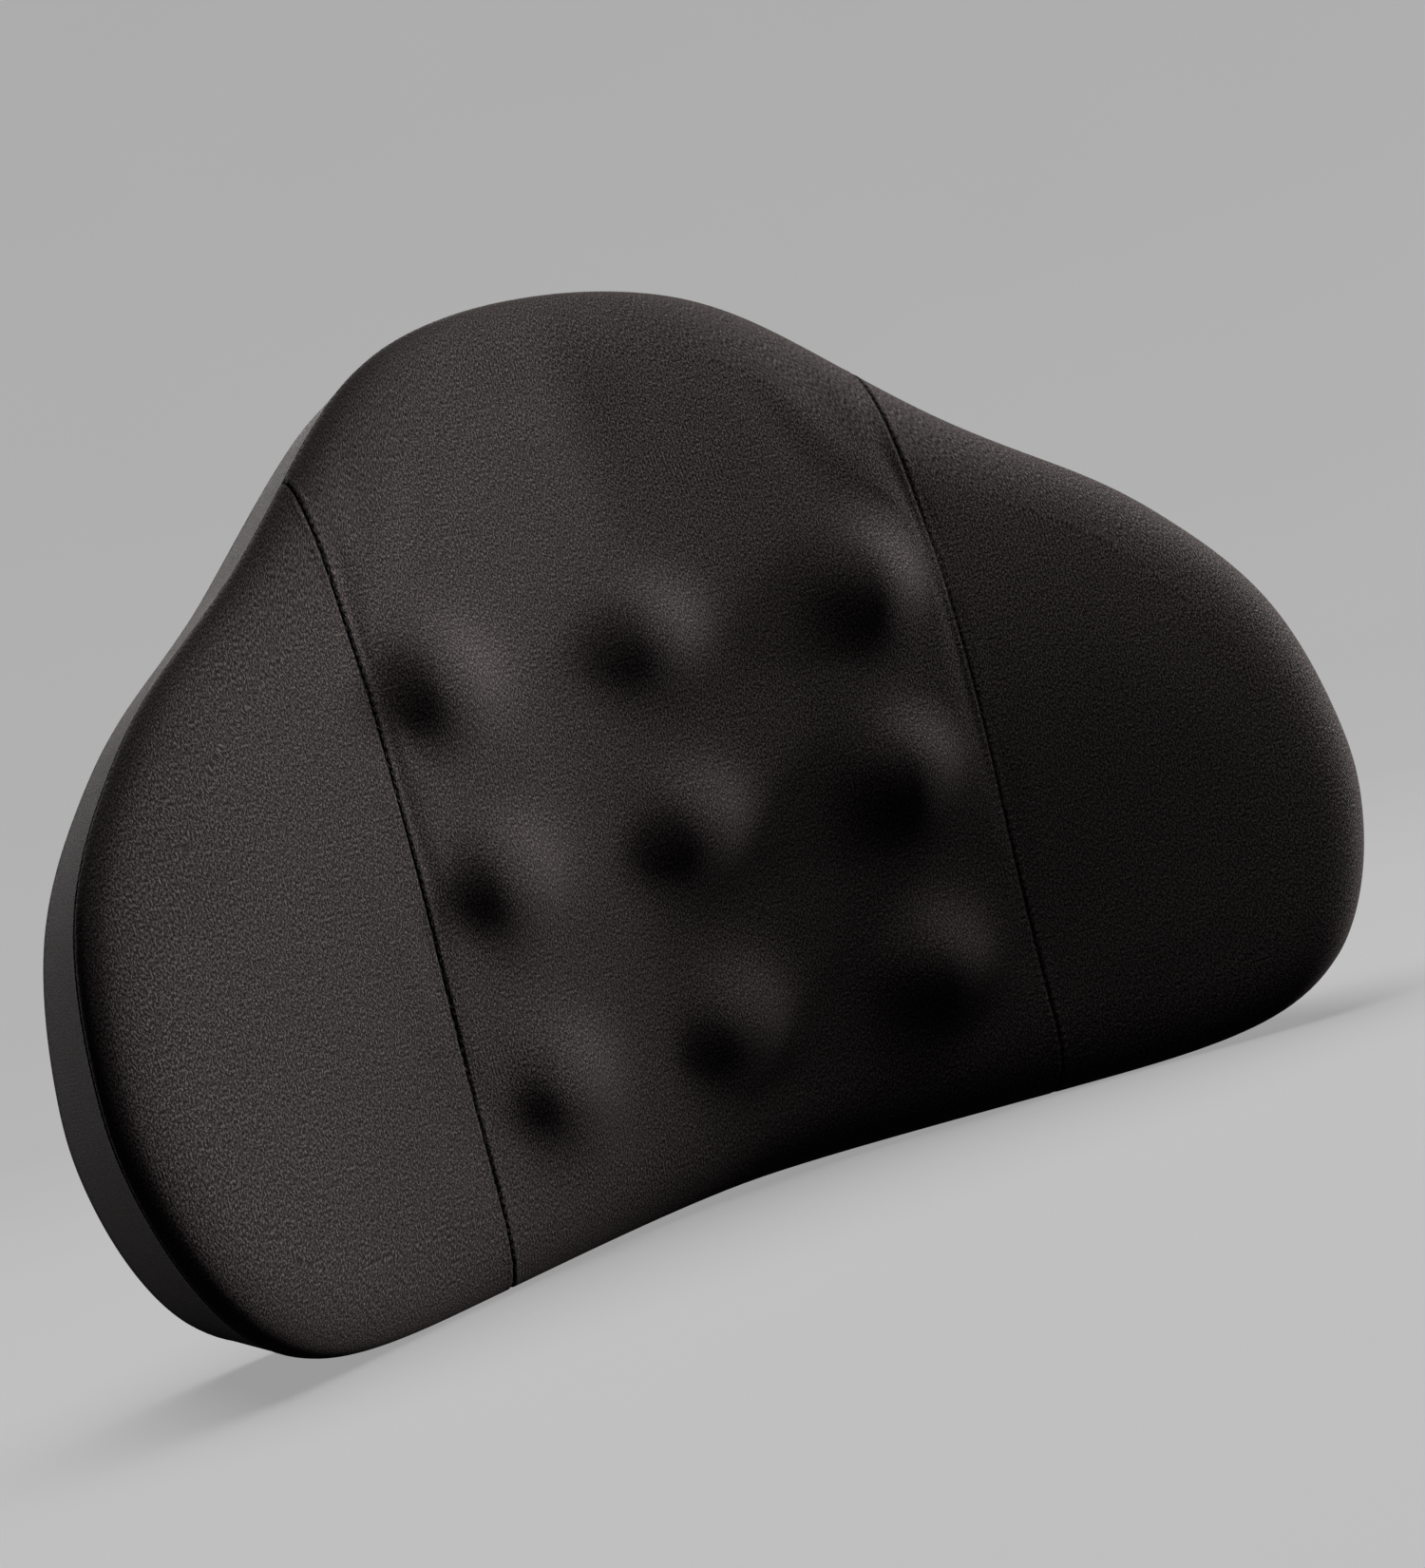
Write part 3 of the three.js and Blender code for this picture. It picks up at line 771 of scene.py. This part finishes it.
def plastic_material(name, dark, light, rough, grain):
    """Moulded plastic with a fine eroded grain and faint scuffs."""
    material, tree, surface = new_material(name, specular_ior_level=0.4)
    place = object_place(tree)
    fine = noise_at(tree, place, grain, 3.0, 0.6)
    scuffs = remap(tree, noise_at(tree, stretched(tree, place, 0.25, 1.0, 0.9), 0.9, 5.0, 0.7), 0.55, 0.75)
    color = mix(tree, scuffs, dark, light)
    roughness = remap(tree, plus(tree, fine, scuffs), 0.3, 1.5, rough, rough + 0.22)
    finish_material(tree, surface, color, roughness, fine, 0.05, 0.6)
    return material


def zip_metal_material():
    """Black enamel on zinc, worn to bare metal in places along the edges."""
    material, tree, surface = new_material("zip_metal", specular_ior_level=0.5)
    place = object_place(tree)
    geometry = tree.nodes.new("ShaderNodeNewGeometry")
    edge = remap(tree, geometry.outputs["Pointiness"], 0.51, 0.6)
    worn = remap(tree, noise_at(tree, place, 1.3, 4.0, 0.65), 0.5, 0.66)
    bare = times(tree, edge, worn)
    color = mix(tree, bare, (0.009, 0.009, 0.0095, 1), (0.3, 0.29, 0.28, 1))
    tree.links.new(bare, surface.inputs["Metallic"])
    fine = noise_at(tree, place, 5.0, 3.0)
    finish_material(tree, surface, color, remap(tree, fine, 0.3, 0.7, 0.25, 0.42), fine, 0.03, 0.5)
    return material


def foam_material():
    """Open-cell foam: pale grey with small pores."""
    material, tree, surface = new_material("foam", specular_ior_level=0.15, subsurface_weight=0.1)
    place = object_place(tree)
    cells = node(tree, "TexVoronoi", place, None, 0.9)
    pores = remap(tree, cells, 0.15, 0.5)
    color = mix(tree, noise_at(tree, place, 0.06, 3.0), (0.3, 0.29, 0.25, 1), (0.42, 0.4, 0.34, 1))
    # The pores are painted darker: painted shade inside them.
    color = mix(tree, pores, mix(tree, 0.6, color, (0.05, 0.045, 0.04, 1)), color)
    finish_material(tree, surface, color, remap(tree, pores, 0.0, 1.0, 1.0, 0.85), pores, 0.4)
    return material


def silicone_material():
    """Soft moulded rubber with a dusty bloom."""
    material, tree, surface = new_material("silicone", specular_ior_level=0.35, subsurface_weight=0.05)
    place = object_place(tree)
    bloom = noise_at(tree, place, 0.15, 5.0, 0.6)
    fine = noise_at(tree, place, 3.0, 2.0)
    color = mix(tree, bloom, (0.05, 0.052, 0.055, 1), (0.1, 0.1, 0.105, 1))
    finish_material(tree, surface, color, remap(tree, bloom, 0.3, 0.7, 0.45, 0.7), fine, 0.04, 0.5)
    return material


# ---------- cover, foam and domes ----------

knit = knit_material()
air_mesh = air_mesh_material()
thread = thread_material()
silicone = silicone_material()


def make_cover():
    """The finished skin as one mesh whose faces know their panel, and the seam paths."""
    points, faces, panels, cloth, seams = make_skin()
    back_points = np.unique(faces[panels == BACK])
    held = np.unique(np.concatenate([back_points] + list(seams.values())))
    points = swell(points, faces, held)
    mesh = bpy.data.meshes.new("skin")
    mesh.from_pydata(to_frame(points).tolist(), [], faces.tolist())
    mesh.polygons.foreach_set("material_index", panels)
    mesh.uv_layers.new(name="weave").data.foreach_set("uv", (cloth * MM).ravel())
    for _ in range(BACK + 1):
        mesh.materials.append(knit)
    mesh = finer(mesh)
    paths = {name: points[index] for name, index in seams.items()}
    pull_in_seams(mesh, {name: to_frame(path) / MM for name, path in paths.items()})
    return mesh, paths


skin_mesh, seam_paths = make_cover()
WINDOW_HALF_HEIGHT = 4.5
WINDOW_HALF_LENGTH = 101.0
ZIP_CUTS = [((0, 0, ZIP_Z), (0, 0, 1))]
ZIP_CUTS += [((0, 0, ZIP_Z + side * WINDOW_HALF_HEIGHT), (0, 0, 1)) for side in (-1, 1)]
ZIP_CUTS += [((side * WINDOW_HALF_LENGTH, 0, 0), (1, 0, 0)) for side in (-1, 1)]


def outside_window(middle):
    return abs(middle[0]) > WINDOW_HALF_LENGTH or abs(middle[2] - ZIP_Z) > WINDOW_HALF_HEIGHT


PANELS = [
    ("center_panel", "cover_center_panel", CENTER, knit, "knit", None, ()),
    ("wing_panel_left", "cover_wing_left", WING_LEFT, knit, "knit", None, ()),
    ("wing_panel_right", "cover_wing_right", WING_RIGHT, knit, "knit", None, ()),
    ("border_band", "cover_border", BORDER, knit, "knit", None, ()),
    ("back_panel_upper", "cover_back_upper", BACK, air_mesh, "back_mesh",
     lambda m: m[2] > ZIP_Z and outside_window(m), ZIP_CUTS),
    ("back_panel_lower", "cover_back_lower", BACK, air_mesh, "back_mesh",
     lambda m: m[2] < ZIP_Z and outside_window(m), ZIP_CUTS),
]
for name, node_name, panel, material, slot, keep, cuts in PANELS:
    mesh = panel_mesh(skin_mesh, name, panel, keep, cuts)
    made = solidify(piece(name, mesh, material, "root", [node_name]), SHELL)

surface_tree = BVHTree.FromPolygons(
    [v.co for v in skin_mesh.vertices], [tuple(p.vertices) for p in skin_mesh.polygons])


def on_skin(path, lift):
    """A path moved onto the finished skin and a little above it, and the normals there."""
    places, normals = [], []
    for point in to_frame(path):
        place, normal, _, _ = surface_tree.find_nearest(Vector(point))
        places.append(from_frame(place) + np.array(normal) * lift)
        normals.append(np.array(normal))
    return np.array(places), np.array(normals)


for seed, (name, path) in enumerate(seam_paths.items()):
    line, _ = resampled(path, 1.0)
    line, normals = on_skin(line, 0.1)
    for _ in range(4):
        normals[1:-1] = (normals[:-2] + normals[1:-1] + normals[2:]) / 3
    normals /= np.linalg.norm(normals, axis=1)[:, None]
    parts = stitches(line, normals, SEAM_STITCH, seed)
    piece("stitches_" + name, mesh_of("stitches_" + name, parts), thread, "root")


def make_foam():
    points, faces, _, _, _ = make_skin(raised=False)
    mesh = bpy.data.meshes.new("foam_core_piece")
    mesh.from_pydata(to_frame(points).tolist(), [], faces.tolist())
    inward = read_vectors(mesh.vertices, "co") - read_vectors(mesh.vertex_normals, "vector") * FOAM_INSET * MM
    mesh.vertices.foreach_set("co", inward.ravel())
    mesh.update()
    return mesh


foam = piece("foam_block", make_foam(), foam_material(), "root", ["foam_core"])


# Radius and height of a dome, from its tip to its foot.
DOME_PROFILE = [
    (0.2, 6.6), (4, 6.3), (8, 5.2), (11.5, 3.4), (14, 1.5), (15.2, 0.5), (15.4, 0.0), (15.0, -0.5),
    (0.2, -0.5),
]
DOME_SIDES = 32
DOME_DEPTH = SHELL + 1.2


def make_dome(x, z):
    """A lathed rubber dome under the cover, standing square to the front."""
    step = 0.5
    slope_x = (front_depth(x + step, z) - front_depth(x - step, z)) / (2 * step)
    slope_z = (front_depth(x, z + step) - front_depth(x, z - step)) / (2 * step)
    normal = np.array([-slope_x, -1.0, -slope_z])
    normal /= np.linalg.norm(normal)
    side = np.cross(normal, (0, 0, 1))
    side /= np.linalg.norm(side)
    foot = np.array([x, -front_depth(x, z), z]) - normal * DOME_DEPTH
    turn = circle(1.0, DOME_SIDES)
    outward = turn[:, :1] * side + turn[:, 1:] * np.cross(side, normal)
    rows = [foot + normal * height + radius * outward for radius, height in DOME_PROFILE]
    return np.concatenate(rows), tube_faces(len(rows), DOME_SIDES)


for row, (z, pitch) in zip(("top", "middle", "bottom"), BUMP_ROWS):
    for column, side in (("left", -1), ("center", 0), ("right", 1)):
        mesh = mesh_of("dome", [make_dome(side * pitch, z)])
        node_name = f"massage_nub_{row}_{column}"
        piece(f"dome_{row}_{column}", mesh, silicone, "root", [node_name], sharp=50)


# ---------- zip ----------

def webbing(name, line, y_of, z0, width, thickness):
    """A flat woven band: line holds x and y along it, at its lower edge z0, and y_of moves a point in y
    according to its x and z. Its edges are rounded, as a selvedge is."""
    path = np.stack([line[:, 0], line[:, 1], np.full(len(line), z0 + width / 2)], 1)
    _, sides, ups = frames_along(path, (0, 0, 1))
    share = np.sin(np.linspace(-1, 1, 11) * math.pi / 2)
    half = thickness / 2 * np.sqrt(np.clip(1 - share**6, 0.04, 1))
    seam_shade = np.stack([half, share * width / 2], 1)
    far = np.stack([-half, share * width / 2], 1)[::-1]
    section = np.concatenate([seam_shade, far])
    points, faces = sweep(section, path, sides, ups)
    points[:, 1] += y_of(points[:, 0], points[:, 2])
    mesh = mesh_of(name, [(points, faces)])
    along = length_along(path)
    cloth = np.stack([np.repeat(along, len(section)), np.tile(section[:, 1], len(path))], 1) * MM
    add_cloth_places(mesh, "weave", cloth)
    return mesh


def level(x, z):
    return np.zeros(len(x))


TAPE_Y, TAPE_THICKNESS, TAPE_WIDTH = -2.5, 0.6, 12.0
COIL_Y, COIL_RADIUS, WIRE, COIL_PITCH = -1.2, 0.52, 0.26, 1.5
tape_weave = webbing_material("zip_tape", 0.7, 1.1, (0.006, 0.0055, 0.0055, 1), (0.034, 0.031, 0.03, 1))
nylon = plastic_material("zip_nylon", (0.02, 0.0195, 0.0195, 1), (0.05, 0.048, 0.048, 1), 0.34, 3.0)
enamel = zip_metal_material()


def make_coil(side):
    """The coil of one side: a flattened helix whose heads reach just past the middle."""
    turns = (2 * ZIP_HALF_LENGTH - 5) / COIL_PITCH
    angle = np.linspace(0, 2 * math.pi * turns, int(turns * 12))
    x = -ZIP_HALF_LENGTH + 2.5 + COIL_PITCH * (angle / (2 * math.pi) + (0.5 if side > 0 else 0))
    z = ZIP_Z + side * (1.0 + 1.35 * np.cos(angle))
    path = np.stack([x, COIL_Y + COIL_RADIUS * np.sin(angle), z], 1)
    _, sides, ups = frames_along(path, (1, 0, 0))
    return sweep(circle(WIRE, 6), path, sides, ups)


def refined(name, node_name, material, body, bevel):
    """A CAD piece with its edges rounded, standing for its node."""
    mesh = frame["nodes"][node_name].data.copy()
    bm = bmesh.new()
    bm.from_mesh(mesh)
    bmesh.ops.remove_doubles(bm, verts=bm.verts, dist=1e-6)
    flat_limit = math.radians(1)
    bmesh.ops.dissolve_limit(bm, angle_limit=flat_limit, verts=bm.verts, edges=bm.edges)
    bmesh.ops.recalc_face_normals(bm, faces=bm.faces)
    for edge in bm.edges:
        edge.smooth = True
    bm.to_mesh(mesh)
    bm.free()
    made = piece(name, mesh, material, None)
    rounding = made.modifiers.new("Bevel", "BEVEL")
    rounding.width = bevel * MM
    rounding.segments = 3
    rounding.limit_method = "ANGLE"
    rounding.angle_limit = math.radians(25)
    rounding.harden_normals = True
    rounding.use_clamp_overlap = True
    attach(made, body)
    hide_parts(node_name)
    return made


for name, side in (("upper", 1), ("lower", -1)):
    reach = ZIP_HALF_LENGTH + 6
    line = np.stack([np.linspace(-reach, reach, 160), np.full(160, TAPE_Y)], 1)
    z0 = ZIP_Z + 0.3 if side > 0 else ZIP_Z - 0.3 - TAPE_WIDTH
    mesh = webbing("tape", line, level, z0, TAPE_WIDTH, TAPE_THICKNESS)
    piece("zip_tape_" + name, mesh, tape_weave, "root", ["zipper_tape_" + name], sharp=60)
    mesh = mesh_of("coil", [make_coil(side)])
    piece("zip_coil_" + name, mesh, nylon, "root", ["zipper_coil_" + name])
for name in ("left", "right"):
    refined("zip_stop_" + name, "zipper_stop_" + name, enamel, "root", 0.35)
refined("zip_slider_body", "zipper_slider", enamel, "zip_slider", 0.3)
refined("zip_pull_tab", "zipper_pull_tab", enamel, "zip_tab", 0.3)

# Rows of stitching that hold the tapes.
parts = []
for side in (-1, 1):
    row = ZIP_Z + side * (WINDOW_HALF_HEIGHT + 2.2)
    line = np.linspace((-ZIP_HALF_LENGTH - 4, 0, row), (ZIP_HALF_LENGTH + 4, 0, row), 120)
    parts += stitches(*on_skin(line, 0.25), TOP_STITCH, 20 + side)
piece("stitches_zip", mesh_of("stitches_zip", parts), thread, "root")


# ---------- strap and buckle ----------

STRAP_WIDTH, STRAP_THICKNESS, STRAP_END = 25.0, 1.5, 165.0
STRAP_LIFT = 0.6
BUCKLE_Y, BAR_HALF = 4.6, 1.5
CLEAR = 0.3 + STRAP_THICKNESS / 2
FEMALE_BAR, MALE_BARS = (26.5, 30.0), (16.0, 26.5)
SLOPE_START = 60.0
BOX_LENGTH, BOX_MARGIN = 17.0, 3.0
elastic = webbing_material("elastic", 1.25, 1.0, (0.006, 0.0056, 0.0056, 1), (0.042, 0.038, 0.037, 1))
acetal = plastic_material("buckle_plastic", (0.012, 0.0118, 0.012, 1), (0.026, 0.0255, 0.026, 1), 0.42, 2.2)


def strap_lift(x, z):
    """The strap lies on the back, which slopes away under the wings."""
    return -back_depth(x, z)


def rounded(points, times):
    """Cuts the corners of an open line."""
    for _ in range(times):
        a, b = points[:-1], points[1:]
        inner = np.stack([0.75 * a + 0.25 * b, 0.25 * a + 0.75 * b], 1).reshape(-1, 2)
        points = np.concatenate([points[:1], inner[1:-1], points[-1:]])
    return points


def strap_mesh(name, side, loop, outer):
    """The strap from its tail, round the buckle's bar, to the end that is sewn on."""
    low, high = BUCKLE_Y - BAR_HALF - CLEAR, BUCKLE_Y + BAR_HALF + CLEAR
    tail = low + STRAP_THICKNESS + 0.3
    line = np.array([
        (outer + 24, tail), (outer + 8, tail + 0.4), (outer + 1, high), (loop + 0.2, high),
        (loop - CLEAR, BUCKLE_Y + 1.6), (loop - CLEAR, BUCKLE_Y - 1.6), (loop + 0.2, low),
        (outer + 6, low), (SLOPE_START, STRAP_LIFT + STRAP_THICKNESS / 2),
    ])
    line = rounded(line, 2)
    flat = np.linspace(SLOPE_START, STRAP_END, 60)[1:]
    line = np.concatenate([line, np.stack([flat, np.full(len(flat), STRAP_LIFT + STRAP_THICKNESS / 2)], 1)])
    length = length_along(line)
    even = np.linspace(0, length[-1], int(length[-1] / 1.2))
    line = np.stack([side * np.interp(even, length, line[:, 0]), np.interp(even, length, line[:, 1])], 1)
    return webbing(name, line, strap_lift, STRAP_Z - STRAP_WIDTH / 2, STRAP_WIDTH, STRAP_THICKNESS)


def box_stitch(side):
    """A sewn box with a cross in it, on top of the strap's end."""
    outer = STRAP_END - BOX_MARGIN
    inner, half = outer - BOX_LENGTH, STRAP_WIDTH / 2 - BOX_MARGIN
    corners = [(inner, -half), (outer, -half), (outer, half), (inner, half), (inner, -half), (outer, half)]
    parts = []
    lines = list(zip(corners[:-1], corners[1:])) + [((inner, half), (outer, -half))]
    for k, (a, b) in enumerate(lines):
        flat = np.linspace(a, b, 30) * (side, 1) + (0, STRAP_Z)
        y = STRAP_LIFT + STRAP_THICKNESS - back_depth(flat[:, 0], flat[:, 1]) + 0.15
        line = np.stack([flat[:, 0], y, flat[:, 1]], 1)
        slope = (back_depth(flat[:, 0] + 1, flat[:, 1]) - back_depth(flat[:, 0] - 1, flat[:, 1])) / 2
        normals = np.stack([slope, np.ones(len(flat)), np.zeros(len(flat))], 1)
        normals /= np.linalg.norm(normals, axis=1)[:, None]
        parts += stitches(line, normals, TOP_STITCH, 40 + k)
    return parts


def bar_tack(side, x, y):
    """The close stitching across the strap that closes its loop."""
    parts = []
    for k in range(3):
        z = np.linspace(STRAP_Z - STRAP_WIDTH / 2 + 2, STRAP_Z + STRAP_WIDTH / 2 - 2, 30)
        line = np.stack([np.full(30, side * (x + 1.8 * k)), np.full(30, y), z], 1)
        parts += stitches(line, np.tile((0.0, 1.0, 0.0), (30, 1)), TOP_STITCH, 60 + k)
    return parts


piece("strap_left_band", strap_mesh("strap_left_band", -1, *FEMALE_BAR), elastic,
      "root", ["strap_left"], sharp=60)
strap_right = piece("strap_right_band", strap_mesh("strap_right_band", 1, *MALE_BARS), elastic,
                    None, ["strap_right"], sharp=60)
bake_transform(strap_right)
TAIL_TOP = BUCKLE_Y - BAR_HALF - CLEAR + STRAP_THICKNESS * 1.5 + 0.3 + 0.15
for name, side, outer, body in (
    ("left", -1, FEMALE_BAR[1], "root"), ("right", 1, MALE_BARS[1], "buckle_male_half"),
):
    piece("stitches_anchor_" + name, mesh_of("stitches", box_stitch(side)), thread, "root")
    mesh = mesh_of("stitches", bar_tack(side, outer + 17, TAIL_TOP))
    piece("stitches_loop_" + name, mesh, thread, body)
refined("buckle_socket", "buckle_female", acetal, "root", 0.8)
refined("buckle_plug", "buckle_male", acetal, "buckle_male_half", 0.6)
for name in ("upper", "lower"):
    refined("buckle_spring_" + name, "buckle_prong_" + name, acetal, "prong_" + name, 0.5)


# ---------- floor, light and camera ----------

# Radius and height of the rings of the floor, in metres, as it turns up into a wall.
FLOOR_PROFILE = [(1.2, 0.0), (1.8, 0.02), (2.3, 0.14), (2.7, 0.42), (2.95, 0.85), (3.05, 1.4), (3.1, 3.2)]


def backdrop():
    """A pale floor that curves up into a wall all round."""
    count = 96
    parts = circle(1.0, count)
    points, faces = [(0.0, 0.0, 0.0)], []
    for radius, height in FLOOR_PROFILE:
        points += [(radius * x, radius * y, height) for x, y in parts]
    faces += [(0, 1 + k, 1 + (k + 1) % count) for k in range(count)]
    for row in range(len(FLOOR_PROFILE) - 1):
        first = 1 + row * count
        for k in range(count):
            after = (k + 1) % count
            faces.append((first + k, first + count + k, first + count + after, first + after))
    mesh = bpy.data.meshes.new("floor")
    mesh.from_pydata(points, [], faces)
    mesh.polygons.foreach_set("use_smooth", [True] * len(faces))
    floor = bpy.data.objects.new("floor", mesh)
    bpy.context.scene.collection.objects.link(floor)
    material, tree, surface = new_material("floor_paper", specular_ior_level=0.1, emission_strength=0.32)
    surface.inputs["Emission Color"].default_value = (1, 1, 1, 1)
    paper = noise_at(tree, object_place(tree), 0.004, 3.0)
    color = mix(tree, paper, (0.68, 0.68, 0.68, 1), (0.72, 0.72, 0.72, 1))
    finish_material(tree, surface, color, remap(tree, paper, 0, 1, 0.85, 0.95), paper, 0.02, 0.2)
    mesh.materials.append(material)
    floor.visible_diffuse = floor.visible_glossy = False


OBJECT_MIDDLE = (0.0, 0.0, 0.15)


def lamp(name, place, size, power, color=(1.0, 0.98, 0.975)):
    """A round soft lamp at a place in metres, aimed at the middle of the object."""
    data = bpy.data.lights.new(name, "AREA")
    data.shape = "DISK"
    data.size = size
    data.energy = power
    data.color = color
    made = bpy.data.objects.new(name, data)
    made.visible_camera = False
    made.location = place
    made.rotation_mode = "QUATERNION"
    made.rotation_quaternion = (Vector(OBJECT_MIDDLE) - Vector(place)).to_track_quat("-Z", "Y")
    bpy.context.scene.collection.objects.link(made)
    return made


def lights():
    # The key lights the cover from its right, so that the wing facing it is the bright one.
    lamp("key", (1.73, -0.38, 0.46), size=0.8, power=50)
    lamp("fill", (0.28, -0.49, 0.72), size=0.4, power=1.5)
    lamp("top", (0.9, -0.52, 1.62), size=0.8, power=12)
    lamp("back", (0.3, 1.64, 1.1), size=0.8, power=22)
    lamp("back_left", (-0.6, 1.6, 0.7), size=0.8, power=10)
    # The floor has a wide lamp of its own and takes no light from the others, so that it stays pale
    # and even round a dark object.
    without_floor = bpy.data.collections.new("without_floor")
    floor = bpy.data.objects["floor"]
    without_floor.objects.link(floor)
    without_floor.collection_objects[0].light_linking.link_state = "EXCLUDE"
    for other in bpy.context.scene.objects:
        if other.type == "LIGHT":
            other.light_linking.receiver_collection = without_floor
    floor_only = bpy.data.collections.new("floor_only")
    floor_only.objects.link(floor)
    above = lamp("above", (0.0, 0.0, 3.0), size=3.0, power=32, color=(1, 1, 1))
    above.light_linking.receiver_collection = floor_only
    world = bpy.data.worlds.new("studio")
    world.use_nodes = True
    background = world.node_tree.nodes["Background"]
    background.inputs["Color"].default_value = (1, 1, 1, 1)
    background.inputs["Strength"].default_value = 0.015
    bpy.context.scene.world = world
    bpy.context.scene.view_settings.view_transform = "Standard"


AZIMUTH, ELEVATION, CAMERA_ROLL = math.radians(-25.253), math.radians(-1.96), math.radians(16.218)
DISTANCE = 0.8065
TARGET = Vector((0.011, 0.0006, 0.1351))
LENS = 55.57


def camera():
    data = bpy.data.cameras.new("camera")
    data.lens = LENS
    data.sensor_width = 36.0
    data.clip_start, data.clip_end = 0.01, 20
    made = bpy.data.objects.new("camera", data)
    bpy.context.scene.collection.objects.link(made)
    level_back = Vector((math.sin(AZIMUTH), -math.cos(AZIMUTH), 0))
    back = level_back * math.cos(ELEVATION) + Vector((0, 0, math.sin(ELEVATION)))
    level_right = Vector((math.cos(AZIMUTH), math.sin(AZIMUTH), 0))
    level_up = back.cross(level_right)
    right = math.cos(CAMERA_ROLL) * level_right - math.sin(CAMERA_ROLL) * level_up
    up = math.sin(CAMERA_ROLL) * level_right + math.cos(CAMERA_ROLL) * level_up
    turn = Matrix((right, up, back)).transposed().to_4x4()
    made.matrix_world = Matrix.Translation(TARGET + back * DISTANCE) @ turn
    bpy.context.scene.camera = made


backdrop()
lights()
camera()
